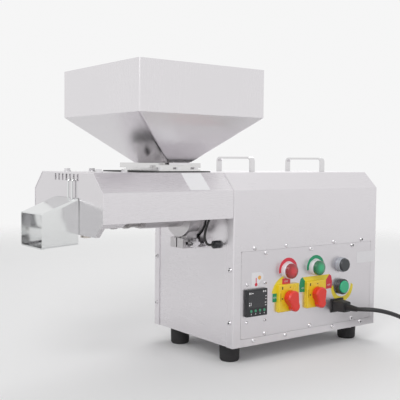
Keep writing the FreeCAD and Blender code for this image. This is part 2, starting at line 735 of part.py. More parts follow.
def button_floor(size):
    """Height of the collar's floor above the panel: the cap stops on it."""
    return size[3] - CAP_LENGTH - BUTTON_TRAVEL - CAP_CLEARANCE


def button_collar(x, z, size):
    radius, length, cap, _ = size
    bore = cap + CAP_CLEARANCE
    floor = button_floor(size)
    profile = [(0, 0), (0, radius), (length - 1, radius), (length, radius - 1), (length, bore), (floor, bore), (floor, 0)]
    collar = joined([turned(profile, Vector(x, 0, z), -Y_AXIS)] + device_body(x, z, DEVICE_DEPTH))
    well = PLUNGER_REACH + BUTTON_TRAVEL + CAP_CLEARANCE
    return collar.cut(rod(Vector(x, -length, z), Y_AXIS, PLUNGER_RADIUS + CAP_CLEARANCE, length + well))


def button_cap(x, z, size):
    cap, reach = size[2], size[3]
    back = reach - CAP_LENGTH
    profile = [(-PLUNGER_REACH, 0), (-PLUNGER_REACH, PLUNGER_RADIUS), (back, PLUNGER_RADIUS), (back, cap),
               (reach - 1.2, cap), (reach, cap - 1.2), (reach, 0)]
    return turned(profile, Vector(x, 0, z), -Y_AXIS)


def switch_plates():
    side, thick = SWITCH_PLATE
    plates = []
    for x in COLUMN_X[:2]:
        plate = block(around(x, side), (-thick, 0), around(SWITCH_ROW_Z, side))
        plate = plate.makeFillet(1.8, [edge for edge in plate.Edges if edge.BoundBox.YMin < 1 - thick])
        neck = rod(Vector(x, 0, SWITCH_ROW_Z), Y_AXIS, DEVICE_BODY_RADIUS, SHEET + 1)
        body = block(around(x, SWITCH_BODY[0]), (SHEET, SHEET + SWITCH_BODY[1]), around(SWITCH_ROW_Z, SWITCH_BODY[0]))
        bore = rod(Vector(x, -thick - 1, SWITCH_ROW_Z), Y_AXIS, KNOB_SPINDLE + RUNNING_FIT, thick + 6)
        plates.append(joined([plate, neck, body]).cut(bore))
    return Part.makeCompound(plates)


def switch_knob(x, turn):
    hub, nose, offset, height = KNOB_GRIP
    disc_radius, disc = KNOB_DISC
    back = -SWITCH_PLATE[1] - KNOB_GAP
    front = back - disc
    centre = Vector(x, 0, SWITCH_ROW_Z)
    spindle = rod(centre - Y_AXIS * (SWITCH_PLATE[1] + KNOB_GAP + 1), Y_AXIS, KNOB_SPINDLE, SWITCH_PLATE[1] + 3)
    plate = rod(centre + Y_AXIS * back, -Y_AXIS, disc_radius, disc)
    slope = math.asin((hub - nose) / offset)
    outline = []
    for radius, shift, first, last in ((hub, 0, slope, math.pi - slope),
                                       (nose, offset, math.pi - slope, 2 * math.pi + slope)):
        for step in range(9):
            angle = first + (last - first) * step / 8
            outline.append((x + radius * math.cos(angle), SWITCH_ROW_Z - shift + radius * math.sin(angle)))
    grip = prism_y(outline, (front - height, front + 1))
    rim = [edge for edge in grip.Edges if edge.BoundBox.YMax < front - height + 0.1]
    grip = grip.makeChamfer(2.5, rim)
    knob = joined([plate, grip, spindle])
    knob.rotate(centre, -Y_AXIS, turn)
    return knob


def key_places():
    x_mid, z_mid = CONTROLLER_CENTRE
    return [(x_mid + 1.3 + (number - (KEY_COUNT - 1) / 2) * KEY_PITCH, z_mid - KEY_DROP)
            for number in range(KEY_COUNT)]


def temperature_controller():
    side, thick = CONTROLLER_BEZEL
    x_mid, z_mid = CONTROLLER_CENTRE
    bezel = block(around(x_mid, side), (-thick, 0), around(z_mid, side))
    bezel = bezel.makeFillet(1.5, [edge for edge in bezel.Edges if edge.BoundBox.YMin < 1 - thick])
    body = block(around(x_mid, CONTROLLER_BODY[0]), (0, CONTROLLER_BODY[1]), around(z_mid, CONTROLLER_BODY[0]))
    well = KEY_LENGTH - KEY_STAND + KEY_TRAVEL + CAP_CLEARANCE
    wells = [rod(Vector(x, -thick - 1, z), Y_AXIS, KEY_RADIUS + CAP_CLEARANCE, well + 1) for x, z in key_places()]
    return without(joined([bezel, body]), wells)


def controller_key(number):
    x, z = key_places()[number]
    front = CONTROLLER_BEZEL[1] + KEY_STAND
    profile = [(front - KEY_LENGTH, 0), (front - KEY_LENGTH, KEY_RADIUS), (front - 0.5, KEY_RADIUS),
               (front, KEY_RADIUS - 0.5), (front, 0)]
    return turned(profile, Vector(x, 0, z), -Y_AXIS)


def inlet_box(size, y_span):
    return block(around(INLET_CENTRE[0], size[0]), y_span, around(INLET_CENTRE[1], size[1]))


def blade_places():
    x_mid, z_mid = INLET_CENTRE
    return [(x_mid - BLADE_PITCH, z_mid - 2), (x_mid, z_mid + 2), (x_mid + BLADE_PITCH, z_mid - 2)]


def mains_inlet():
    width, height, thick = INLET_FLANGE
    shell = joined([inlet_box((width, height), (-thick, 0)), inlet_box(INLET_BODY, (0, INLET_BODY[2]))])
    shell = shell.cut(inlet_box(SOCKET, (-thick - 1, SOCKET[2])))
    blades = [block(around(x, BLADE[0]), (SOCKET[2] - BLADE[2], SOCKET[2]), around(z, BLADE[1]))
              for x, z in blade_places()]
    return joined([shell] + blades)


def mains_connector():
    x_mid, z_mid = INLET_CENTRE
    back = -INLET_FLANGE[2] - FIT_GAP
    tip = back - GRIP_LENGTH
    base = rounded_rectangle(GRIP_BASE[0], GRIP_BASE[1], 3.0, lambda u, v: Vector(x_mid + u, back, z_mid + v))
    small = rounded_rectangle(GRIP_TIP[0], GRIP_TIP[1], 3.0, lambda u, v: Vector(x_mid + u, tip, z_mid + v))
    nose = inlet_box(NOSE, (back, NOSE[2] + back))
    sockets = [block(around(x, BLADE[0] + 0.8), (0, NOSE[2] + 1), around(z, BLADE[1] + 0.8)) for x, z in blade_places()]
    relief = turned([(0, 0), (0, RELIEF_RADII[0]), (RELIEF_LENGTH, RELIEF_RADII[1]), (RELIEF_LENGTH, 0)],
                    Vector(x_mid, tip, z_mid), -Y_AXIS)
    return joined([loft(base, small), nose.cut(joined(sockets)), relief])


# ---- arm ----
def octagon(inset):
    lower = ARM_BOTTOM - LOWER_CHAMFER_Z
    points = roof_outline(ARM_BOTTOM)
    points += [(CAB_WIDTH - LOWER_CHAMFER_Y, lower), (LOWER_CHAMFER_Y, lower)]
    return inset_outline(points, inset)


def end_vent_places():
    return [AXIS_Y + (number - (VENT_COUNT - 1) / 2) * END_VENT_PITCH for number in range(VENT_COUNT)]


def arm_cover():
    front = -ARM_LENGTH
    skin = folded_cover((front, -ARM_GROOVE), ARM_BOTTOM)
    outer = prism_x(inset_outline(roof_outline(ARM_BOTTOM), SHEET), (-ARM_SLEEVE, 0))
    inner = prism_x(inset_outline(roof_outline(ARM_BOTTOM - 4 * SHEET), 2 * SHEET), (-ARM_SLEEVE, 0))
    band = prism_x(octagon(0), (front, front + STRIP_LENGTH)).cut(
        prism_x(octagon(SHEET), (front, front + STRIP_LENGTH)))
    lowest = ARM_BOTTOM - STRIP_WIDTH * LOWER_CHAMFER_Z / math.hypot(LOWER_CHAMFER_Y, LOWER_CHAMFER_Z)
    strips = band.common(block((front, front + STRIP_LENGTH), (-1, CAB_WIDTH + 1), (lowest, ARM_BOTTOM + 1)))
    slant = prism_y([(front + STRIP_LENGTH, ARM_BOTTOM + 1), (front + STRIP_LENGTH, lowest - 1),
                     (front + STRIP_LENGTH - 6, lowest - 1)], (-1, CAB_WIDTH + 1))
    cover = joined([skin, outer.cut(inner), strips.cut(slant)])
    cuts = [block(around(THROAT_X, THROAT_OUTER[0] + 4), around(AXIS_Y, THROAT_OUTER[1] + 4),
                  (ROOF_Z - 2 * SHEET, ROOF_Z + 1))]
    cuts += holes(arm_bolt_places(), Z_AXIS, M6_HEX[0] + HOLE_CLEARANCE, 4 * SHEET)
    cuts += holes(guide_bolt_places(), Z_AXIS, M5_HEX[0] + HOLE_CLEARANCE, 12 * SHEET)
    return without(cover, cuts)


def arm_end_plate():
    outside = -ARM_LENGTH + END_SET_BACK
    inside = outside + SHEET
    plate = prism_x(octagon(SHEET), (outside, inside))
    rim = prism_x(octagon(SHEET), (outside, outside + END_RETURN)).cut(
        prism_x(octagon(2 * SHEET), (outside, outside + END_RETURN)))
    top = ROOF_Z - 2 * SHEET
    slots = [block((outside - 1, inside), around(y, END_VENT_WIDTH), (top - END_VENT_HEIGHT, top))
             for y in end_vent_places()]
    outlet = rod(Vector(outside - 1, AXIS_Y, AXIS_Z), X_AXIS, CAKE_HOLE_RADIUS, SHEET + 2)
    return without(joined([plate, rim]), slots + [outlet])


def arm_bolt_places():
    return [Vector(x, AXIS_Y + side * ARM_BOLTS_OFF, ROOF_Z) for x in ARM_BOLTS_X for side in (-1, 1)]


def guide_bolt_places():
    span = GUIDE_LENGTH - 2 * GUIDE_BOLT_EDGE
    xs = [THROAT_X - span / 2 + span * number / (GUIDE_BOLTS - 1) for number in range(GUIDE_BOLTS)]
    return [Vector(x, AXIS_Y + side * (GUIDE_HALF - GUIDE_BOLT_EDGE + 0.5), GUIDE_TOP - 2)
            for x in xs for side in (-1, 1)]


def arm_bolts():
    bolts = []
    for at in arm_bolt_places():
        washer = rod(at, Z_AXIS, 6.5, 1.2)
        bolts.append(joined([washer, hex_bolt(at + Z_AXIS * 1.2, Z_AXIS, M6_HEX)]))
    return Part.makeCompound(bolts)


def guide_bolts():
    return Part.makeCompound([hex_bolt(at, Z_AXIS, M5_HEX) for at in guide_bolt_places()])


def head_bracket():
    top = ROOF_Z - SHEET
    x_span = (ARM_BOLTS_X[0] - HANGER_MARGIN, ARM_BOLTS_X[1] + HANGER_MARGIN)
    half = ARM_BOLTS_OFF + HANGER_MARGIN
    plate = block(x_span, around(AXIS_Y, 2 * half), (top - HANGER_PLATE, top))
    half_web, thick = HANGER_WEB
    web = block((WEB_START, WEB_START + thick), around(AXIS_Y, 2 * half_web), (AXIS_Z, top))
    gussets = [block((WEB_START, WEB_START + 16), around(AXIS_Y + side * (half_web - thick / 2), thick),
                     (AXIS_Z + NOZZLE_RADIUS + 4, top)) for side in (-1, 1)]
    bracket = joined([plate, web] + gussets)
    seat = rod(Vector(WEB_START - 5, AXIS_Y, AXIS_Z), X_AXIS, NOZZLE_RADIUS, 40)
    return without(bracket, [seat] + holes(arm_bolt_places(), Z_AXIS, M6_HEX[0] + HOLE_CLEARANCE, 12))


def chute_section(x, size, shrink):
    width, bottom, top = size
    middle = (bottom + top) / 2
    return rounded_rectangle(width - 2 * shrink, top - bottom - 2 * shrink, max(CHUTE_CORNER - shrink, 1),
                             lambda u, v: Vector(x, AXIS_Y + u, middle + v))


def cake_chute():
    tube = loft(chute_section(CHUTE_ROOT_X, CHUTE_ROOT, 0), chute_section(CHUTE_TIP_X, CHUTE_TIP, 0))
    length, extra = CHUTE_HEM
    hem = loft(chute_section(CHUTE_TIP_X + length, CHUTE_TIP, -extra), chute_section(CHUTE_TIP_X, CHUTE_TIP, -extra))
    hollow = loft(chute_section(CHUTE_ROOT_X, CHUTE_ROOT, SHEET), chute_section(CHUTE_TIP_X, CHUTE_TIP, SHEET))
    hooks = [chute_hook(end_vent_places()[slot]) for slot in HOOK_SLOTS]
    return joined([joined([tube, hem]).cut(hollow)] + hooks)


def chute_hook(y):
    """Bent wire welded to the chute's top; it passes through a vent slot and turns down behind it."""
    x = -ARM_LENGTH - HOOK_STAND
    slot_bottom = ROOF_Z - 2 * SHEET - END_VENT_HEIGHT
    high = slot_bottom + HOOK_RADIUS + HOOK_SEAT
    weld = CHUTE_ROOT[2] - SHEET / 2
    bend = HOOK_BEND
    diagonal = bend * (1 - math.sqrt(0.5))
    inner = x + HOOK_REACH
    path = [Part.makeLine(Vector(x, y, weld), Vector(x, y, high - bend)),
            Part.Arc(Vector(x, y, high - bend), Vector(x + diagonal, y, high - diagonal),
                     Vector(x + bend, y, high)).toShape(),
            Part.makeLine(Vector(x + bend, y, high), Vector(inner - 2, y, high)),
            Part.Arc(Vector(inner - 2, y, high), Vector(inner - 2 + 2 * math.sqrt(0.5), y, high - 2 * (1 - math.sqrt(0.5))),
                     Vector(inner, y, high - 2)).toShape(),
            Part.makeLine(Vector(inner, y, high - 2), Vector(inner, y, high - HOOK_DROP))]
    return swept_tube(Part.Wire(path), HOOK_RADIUS)


# ---- press head ----
def clamp_housing():
    body = turned_on_axis([(CLAMP_FRONT, SPIGOT_RADIUS), (CLAMP_FRONT, CLAMP_RADIUS), (CLAMP_FACE, CLAMP_RADIUS),
                           (CLAMP_FACE, CLAMP_FLANGE_RADIUS), (CLAMP_FLANGE_BACK, CLAMP_FLANGE_RADIUS),
                           (CLAMP_FLANGE_BACK, CLAMP_NECK), (CASE_FRONT - CLAMP_REAR_FLANGE, CLAMP_NECK),
                           (CASE_FRONT - CLAMP_REAR_FLANGE, CLAMP_REAR_RADIUS), (CASE_FRONT, CLAMP_REAR_RADIUS),
                           (CASE_FRONT, SOCKET_RADIUS + 4), (CLAMP_SEAT, SOCKET_RADIUS + 4),
                           (CLAMP_SEAT, SPIGOT_RADIUS)])
    wide = around(AXIS_Y, 2 * LUG_WIDTH + LUG_SPLIT)
    lug = joined([block((LUG_FRONT, CLAMP_FACE), wide, LUG_Z),
                  block((CLAMP_FRONT, CLAMP_FACE), wide, (LUG_Z[1] - 1, AXIS_Z - SPIGOT_RADIUS + 4))])
    bore = rod(Vector(CLAMP_FRONT - 1, AXIS_Y, AXIS_Z), X_AXIS, SPIGOT_RADIUS, CLAMP_SEAT - CLAMP_FRONT + 1)
    split = block((LUG_FRONT - 1, CLAMP_FACE), around(AXIS_Y, LUG_SPLIT), (LUG_Z[0] - 1, AXIS_Z))
    bolt_z = sum(LUG_Z) / 2
    bolt_hole = rod(Vector(CLAMP_BOLT_X, 0, bolt_z), Y_AXIS, CLAMP_BOLT_RADIUS + RUNNING_FIT, CAB_WIDTH)
    pin_hole = rod(Vector(PIN_HOLE_X, 0, bolt_z), Y_AXIS, 3, CAB_WIDTH)
    bolts = holes(clamp_flange_bolt_places(), X_AXIS, M6_HEX[0] + HOLE_CLEARANCE, 2 * CLAMP_REAR_FLANGE)
    return without(joined([body, lug]), [bore, split, bolt_hole, pin_hole] + bolts)


def clamp_bolt():
    z = sum(LUG_Z) / 2
    near = AXIS_Y - LUG_WIDTH - LUG_SPLIT / 2
    radius, length = CLAMP_KNOB
    centre = Vector(CLAMP_BOLT_X, near - FIT_GAP, z)
    shank = rod(centre, Y_AXIS, CLAMP_BOLT_RADIUS, 2 * LUG_WIDTH + LUG_SPLIT + CLAMP_BOLT_REACH)
    hub = rod(centre, -Y_AXIS, 0.62 * radius, length)
    lobes = []
    for number in range(CLAMP_KNOB_LOBES):
        angle = 2 * math.pi * number / CLAMP_KNOB_LOBES
        offset = Vector(math.cos(angle), 0, math.sin(angle)) * (0.68 * radius)
        lobes.append(rod(centre - Y_AXIS * 3 + offset, -Y_AXIS, 0.32 * radius, length - 4))
    return joined([shank, hub] + lobes)


def feed_chamber():
    bore = SCREW_RADIUS + SCREW_CLEARANCE
    shaft_bore = SHAFT_RADIUS + RUNNING_FIT
    body = turned_on_axis([(CLAMP_SEAT - 1, shaft_bore), (CLAMP_SEAT - 1, SPIGOT_RADIUS),
                           (CLAMP_FRONT, SPIGOT_RADIUS), (CLAMP_FRONT, CHAMBER_FLANGE_RADIUS),
                           (CHAMBER_START, CHAMBER_FLANGE_RADIUS), (CHAMBER_START, CHAMBER_RADIUS),
                           (CAGE_START, CHAMBER_RADIUS), (CAGE_START, CAGE_SPIGOT_RADIUS),
                           (CAGE_START + SPIGOT, CAGE_SPIGOT_RADIUS), (CAGE_START + SPIGOT, bore),
                           (CHAMBER_START - 2, bore), (CHAMBER_START - 2, shaft_bore)])
    throat = block(around(THROAT_X, THROAT_OUTER[0]), around(AXIS_Y, THROAT_OUTER[1]), (AXIS_Z, GUIDE_BOTTOM))
    inside = block(around(THROAT_X, THROAT_INNER[0]), around(AXIS_Y, THROAT_INNER[1]), (AXIS_Z, GUIDE_BOTTOM + 1))
    barrel = rod(Vector(CAGE_START, AXIS_Y, AXIS_Z), X_AXIS, bore, CHAMBER_START - 2 - CAGE_START)
    return without(joined([body, throat]), [inside, barrel])


def cage_rib_places():
    """Back edge of each raised rib of the cage, from the feed chamber forwards."""
    pitch = (CAGE_START - CAGE_END - CAGE_RIB_WIDTH) / (CAGE_RIBS - 1)
    return [CAGE_START - number * pitch for number in range(CAGE_RIBS)]


def press_cage():
    bore = SCREW_RADIUS + SCREW_CLEARANCE
    ribs = cage_rib_places()
    profile = [(CAGE_START + SPIGOT, bore), (CAGE_START + SPIGOT, CAGE_SPIGOT_RADIUS),
               (CAGE_START, CAGE_SPIGOT_RADIUS)]
    for back in ribs:
        front = back - CAGE_RIB_WIDTH
        profile += [(back, CAGE_RADIUS), (back, CAGE_RIB_RADIUS), (front, CAGE_RIB_RADIUS), (front, CAGE_RADIUS)]
    profile = profile[:3] + profile[4:-1]
    profile += [(CAGE_END, CAGE_SPIGOT_RADIUS), (CAGE_END - SPIGOT, CAGE_SPIGOT_RADIUS), (CAGE_END - SPIGOT, bore)]
    slots = []
    for row in range(CAGE_SLOT_ROWS):
        for back, following in zip(ribs, ribs[1:]):
            slot = block((following + CAGE_SLOT_END, back - CAGE_RIB_WIDTH - CAGE_SLOT_END),
                         around(AXIS_Y, CAGE_SLOT_WIDTH), (AXIS_Z + bore - 2, AXIS_Z + CAGE_RADIUS + 1))
            slot.rotate(Vector(0, AXIS_Y, AXIS_Z), X_AXIS, 360 * (row + 0.5) / CAGE_SLOT_ROWS)
            slots.append(slot)
    return turned_on_axis(profile).cut(Part.makeCompound(slots))


def nozzle_head():
    bore = SCREW_RADIUS + SCREW_CLEARANCE
    thread = CHOKE_RADIUS - CHOKE_WALL
    return turned_on_axis([(CAGE_END, CAGE_SPIGOT_RADIUS), (CAGE_END, NOZZLE_RADIUS),
                           (HEATER_SPAN[0] - 2, NOZZLE_RADIUS), (HEATER_SPAN[0] - 2, thread),
                           (NOZZLE_END, thread), (NOZZLE_END, NOZZLE_BORE),
                           (CAGE_END - 20, NOZZLE_BORE), (CAGE_END - SPIGOT - 2, bore), (CAGE_END - SPIGOT, bore),
                           (CAGE_END - SPIGOT, CAGE_SPIGOT_RADIUS)])


def choke_nut():
    inner = CHOKE_RADIUS - CHOKE_WALL + RUNNING_FIT
    lip = NOZZLE_BORE - 1.5
    start = HEATER_SPAN[0] - 2 - FIT_GAP
    end = NOZZLE_END - CHOKE_LENGTH / 2
    nut = turned_on_axis([(start, inner), (start, CHOKE_RADIUS), (end + 1, CHOKE_RADIUS), (end, CHOKE_RADIUS - 1),
                          (end, lip), (NOZZLE_END - FIT_GAP, lip), (NOZZLE_END - FIT_GAP, inner)])
    flutes = []
    for number in range(CHOKE_FLUTES):
        angle = 2 * math.pi * number / CHOKE_FLUTES
        y = AXIS_Y + (CHOKE_RADIUS + 1.0) * math.cos(angle)
        z = AXIS_Z + (CHOKE_RADIUS + 1.0) * math.sin(angle)
        flutes.append(rod(Vector(end - 1, y, z), X_AXIS, 2.2, start - end + 2))
    return without(nut, flutes)


def flight(pitch, length, root):
    """One helical flight standing on Z, from 0 to its length, wound right-handed."""
    sunk = root - 1.5
    turns = (length - FLIGHT_ROOT) / pitch
    helix = Part.makeHelix(pitch, turns * pitch, sunk)
    slant = (FLIGHT_ROOT - FLIGHT_TIP) / 2
    profile = Part.makePolygon([Vector(sunk, 0, 0), Vector(SCREW_RADIUS, 0, slant),
                                Vector(SCREW_RADIUS, 0, slant + FLIGHT_TIP), Vector(sunk, 0, FLIGHT_ROOT),
                                Vector(sunk, 0, 0)])
    return Part.Wire(helix.Edges).makePipeShell([profile], True, True)


def press_screw():
    change = CAGE_START
    feed_end = CHAMBER_START - 3
    core = turned_on_axis([(CLAMP_SEAT + 4, 0), (CLAMP_SEAT + 4, SHAFT_RADIUS - 1.8), (CLAMP_SEAT - 1, SHAFT_RADIUS - 1.8),
                           (CLAMP_SEAT - 1, SHAFT_RADIUS), (feed_end, SHAFT_RADIUS), (feed_end, FEED_ROOT_RADIUS),
                           (change, FEED_ROOT_RADIUS), (change - 10, PRESS_ROOT_RADIUS),
                           (CAGE_END - 10, PRESS_ROOT_RADIUS), (NOZZLE_END - 2, TIP_RADIUS), (NOZZLE_END - 2, 0)])
    tail = hex_prism(Vector(CLAMP_SEAT + 3, AXIS_Y, AXIS_Z), X_AXIS, HEX_TAIL, 21)
    feed = flight(FEED_PITCH, feed_end - change + 2, FEED_ROOT_RADIUS)
    press = flight(PRESS_PITCH, change - CAGE_END + 2, PRESS_ROOT_RADIUS)
    feed = place(feed, Vector(feed_end, AXIS_Y, AXIS_Z), -X_AXIS)
    press = place(press, Vector(change - 3, AXIS_Y, AXIS_Z), -X_AXIS)
    return joined([core, tail, feed, press])


def heater_band():
    start, end = HEATER_SPAN
    outer = NOZZLE_RADIUS + HEATER_THICK
    band = turned_on_axis([(start, NOZZLE_RADIUS), (start, outer), (end, outer), (end, NOZZLE_RADIUS)])
    wide, high, deep = HEATER_BOX
    terminal = block(around((start + end) / 2, wide), (AXIS_Y - outer - deep + HEATER_SUNK, AXIS_Y - outer + HEATER_SUNK),
                     around(AXIS_Z, high))
    ears = block(around((start + end) / 2, wide), around(AXIS_Y, 14), (AXIS_Z - outer - 8, AXIS_Z - outer + 1))
    split = block((start - 1, end + 1), around(AXIS_Y, 3), (AXIS_Z - outer - 9, AXIS_Z - NOZZLE_RADIUS + 1))
    inside = rod(Vector(start - 5, AXIS_Y, AXIS_Z), X_AXIS, NOZZLE_RADIUS, end - start + 10)
    return without(joined([band, terminal, ears]), [inside, split])


def cable_end():
    start, end = HEATER_SPAN
    x = (start + end) / 2 + HEATER_BOX[0] / 2
    return (x, AXIS_Y - NOZZLE_RADIUS - HEATER_THICK - HEATER_BOX[2] / 2 + HEATER_SUNK, AXIS_Z)


def heater_cable():
    wire, radii = cord_path(CABLE_POINTS + [cable_end()])
    tube = swept_tube(wire, CABLE_RADIUS)
    report_tube("heater_cable", tube, wire, radii, CABLE_RADIUS)
    return tube


def cable_gland():
    radius, reach = GLAND
    x, y, z = CABLE_POINTS[0]
    bore = CABLE_RADIUS
    profile = [(-SHEET - PLATE - 6, bore), (-SHEET - PLATE - 6, radius), (-SHEET - PLATE, radius),
               (-SHEET - PLATE, radius - 1.5), (-SHEET, radius - 1.5), (-SHEET, radius),
               (reach - 3, radius), (-x, radius - 2.5), (-x, bore)]
    return turned(profile, Vector(0, y, z), -X_AXIS)


# ---- gate and hopper ----
def top_gasket():
    start, end, half, thick = GASKET
    sheet = block((start, end), around(AXIS_Y, 2 * half), (ROOF_Z, ROOF_Z + thick))
    hole = block(around(THROAT_X, THROAT_OUTER[0] + 2), around(AXIS_Y, THROAT_OUTER[1] + 2),
                 (ROOF_Z - 1, ROOF_Z + thick + 1))
    return without(sheet, [hole] + holes(guide_bolt_places(), Z_AXIS, M5_HEX[0] + HOLE_CLEARANCE, 20))


def gate_guide():
    x_span = around(THROAT_X, GUIDE_LENGTH)
    wings = block(x_span, around(AXIS_Y, 2 * GUIDE_HALF), (GUIDE_BOTTOM, GUIDE_TOP - 2))
    floor = block(x_span, around(AXIS_Y, 2 * RAIL_OUTER), (GUIDE_BOTTOM, GUIDE_TOP))
    pieces = [wings, floor]
    for side in (-1, 1):
        y_span = tuple(sorted((AXIS_Y + side * RAIL_INNER, AXIS_Y + side * RAIL_OUTER)))
        pieces.append(block(x_span, y_span, (GUIDE_TOP, GUIDE_TOP + RAIL_HEIGHT)))
        pieces.append(block(around(THROAT_X, HOPPER_OUTLET[0]), y_span, (GUIDE_TOP, GUIDE_TOP + PAD_HEIGHT)))
    throat = block(around(THROAT_X, THROAT_INNER[0]), around(AXIS_Y, THROAT_INNER[1]),
                   (GUIDE_BOTTOM - 1, GUIDE_TOP + 1))
    return without(joined(pieces), [throat] + holes(guide_bolt_places(), Z_AXIS, M5_HEX[0] + HOLE_CLEARANCE, 4))


def slide_gate():
    bottom = GUIDE_TOP + GATE_RUN_GAP
    top = bottom + GATE_DEPTH
    blank = block(GATE_X, around(AXIS_Y, 2 * GATE_HALF), (bottom, top))
    hollow = block((GATE_X[0] + SHEET, GATE_X[1] + 1), around(AXIS_Y, 2 * (GATE_HALF - SHEET)),
                   (bottom - 1, top - SHEET))
    grip = rod(Vector(GATE_X[0] + 16, AXIS_Y, top - 5), Z_AXIS, GATE_GRIP_RADIUS, 10)
    return without(blank, [hollow, grip])


def hopper():
    x_mid, y_mid = THROAT_X, AXIS_Y

    def section(size, z, shrink):
        radius = HOPPER_CORNER - shrink
        return rounded_rectangle(size[0] - 2 * shrink, size[1] - 2 * shrink, radius,
                                 lambda u, v: Vector(x_mid + u, y_mid + v, z))

    def shell(lower_size, upper_size, low, high, cap):
        outer = loft(section(lower_size, low, 0), section(upper_size, high, 0))
        inner = loft(section(lower_size, low - cap, SHEET), section(upper_size, high + cap, SHEET))
        return outer, inner

    top = HOPPER_SHOULDER + HOPPER_WALL
    pyramid, pyramid_hollow = shell(HOPPER_OUTLET, HOPPER_SIDE, HOPPER_SEAT, HOPPER_SHOULDER, 0)
    box, box_hollow = shell(HOPPER_SIDE, HOPPER_SIDE, HOPPER_SHOULDER, top, 0)
    outside = joined([pyramid, box])
    inside = joined([pyramid_hollow, box_hollow])
    floor = block(around(x_mid, HOPPER_OUTLET[0] - 2), around(y_mid, HOPPER_OUTLET[1] - 2),
                  (HOPPER_SEAT, HOPPER_SEAT + SHEET))
    floor = floor.cut(block(around(x_mid, THROAT_INNER[0]), around(y_mid, THROAT_INNER[1]),
                            (HOPPER_SEAT - 1, HOPPER_SEAT + SHEET + 1)))
    skirts = []
    for side in (-1, 1):
        edge = y_mid + side * HOPPER_OUTLET[1] / 2
        y_span = tuple(sorted((edge, edge - side * SHEET)))
        skirts.append(block(around(x_mid, HOPPER_OUTLET[0] - 2 * HOPPER_CORNER), y_span,
                            (HOPPER_SEAT - SKIRT, HOPPER_SEAT + SHEET)))
    return joined([outside.cut(inside), floor] + skirts)


# ---- drive ----
def gear(teeth, x, z, width):
    """Spur gear on an axis along X: involute flanks, short teeth, one tooth pointing along +Y."""
    pitch_radius = GEAR_MODULE * teeth / 2
    base = pitch_radius * math.cos(PRESSURE_ANGLE)
    root = pitch_radius - DEDENDUM * GEAR_MODULE
    tip = pitch_radius + ADDENDUM * GEAR_MODULE
    half_pitch = math.pi / (2 * teeth) - BACKLASH / (2 * pitch_radius)
    involute = math.tan(PRESSURE_ANGLE) - PRESSURE_ANGLE
    foot = max(root, base)
    flank = []
    for radius in (root, foot, (foot + pitch_radius) / 2, pitch_radius, tip):
        angle = math.acos(min(1, base / max(radius, foot)))
        flank.append((radius, half_pitch + involute - (math.tan(angle) - angle)))
    if root >= base:
        flank = flank[1:]
    points = []
    for tooth in range(teeth):
        middle = 2 * math.pi * tooth / teeth
        polar = [(radius, middle - angle) for radius, angle in flank]
        polar += [(radius, middle + angle) for radius, angle in reversed(flank)]
        points += [(AXIS_Y + r * math.cos(a), z + r * math.sin(a)) for r, a in polar]
    return prism_x(points, (x, x + width))


def stadium(radius, x_span):
    length = x_span[1] - x_span[0]
    upper = rod(Vector(x_span[0], AXIS_Y, AXIS_Z), X_AXIS, radius, length)
    lower = rod(Vector(x_span[0], AXIS_Y, LAY_Z), X_AXIS, radius, length)
    return joined([upper, lower, block(x_span, around(AXIS_Y, 2 * radius), (LAY_Z, AXIS_Z))])


def bearing_places():
    output = CASE_FRONT + 2
    return [(output, AXIS_Z), (output + BEARING_WIDTH + 1, AXIS_Z), (CASE_FRONT + 4, LAY_Z),
            (REAR_BEARING_X, LAY_Z), (REAR_BEARING_X, AXIS_Z), (MOTOR_END - BEARING_WIDTH, AXIS_Z)]


def boss(x_span, z):
    return rod(Vector(x_span[0], AXIS_Y, z), X_AXIS, BEARING_RADIUS + BOSS_WALL, x_span[1] - x_span[0])


def seat(place_of):
    x, z = place_of
    return rod(Vector(x, AXIS_Y, z), X_AXIS, BEARING_RADIUS, BEARING_WIDTH)


def gearbox_case():
    inner = WHEEL_RADIUS + CASE_ROOM
    shell = stadium(inner + CASE_SKIN, (CASE_FRONT, CASE_END))
    shell = shell.cut(stadium(inner, (CASE_FRONT + CASE_WALL, CASE_END + 1)))
    seats = bearing_places()
    shell = joined([shell, boss((CASE_FRONT, OUTPUT_GEAR_X - 1), AXIS_Z),
                    boss((CASE_FRONT, CASE_FRONT + BEARING_WIDTH + 4), LAY_Z)])
    through = rod(Vector(seats[0][0], AXIS_Y, AXIS_Z), X_AXIS, BEARING_RADIUS, OUTPUT_GEAR_X - seats[0][0])
    mouth = rod(Vector(CASE_FRONT - 1, AXIS_Y, AXIS_Z), X_AXIS, SHAFT_RADIUS + 2, CASE_WALL)
    bolts = holes(clamp_flange_bolt_places(), X_AXIS, M6_HEX[0] + HOLE_CLEARANCE, CLAMP_REAR_FLANGE + CASE_WALL)
    return without(shell, [through, mouth, seat(seats[2])] + bolts)


def gearbox_cover():
    inner = WHEEL_RADIUS + CASE_ROOM
    plate = stadium(inner + CASE_SKIN, (CASE_END, CASE_END + COVER_PLATE))
    seats = bearing_places()
    bosses = [boss((REAR_BEARING_X, CASE_END), z) for z in (LAY_Z, AXIS_Z)]
    plate = joined([plate] + bosses)
    shaft_hole = rod(Vector(CASE_END, AXIS_Y, AXIS_Z), X_AXIS, SHAFT_RADIUS + 1, 2 * COVER_PLATE)
    return without(plate, [seat(seats[3]), seat(seats[4]), shaft_hole])


def ball_bearings():
    rings = []
    for x, z in bearing_places():
        at = Vector(x, AXIS_Y, z)
        ring = rod(at, X_AXIS, BEARING_RADIUS, BEARING_WIDTH)
        rings.append(ring.cut(rod(at, X_AXIS, SHAFT_RADIUS + RUNNING_FIT, BEARING_WIDTH)))
    return Part.makeCompound(rings)


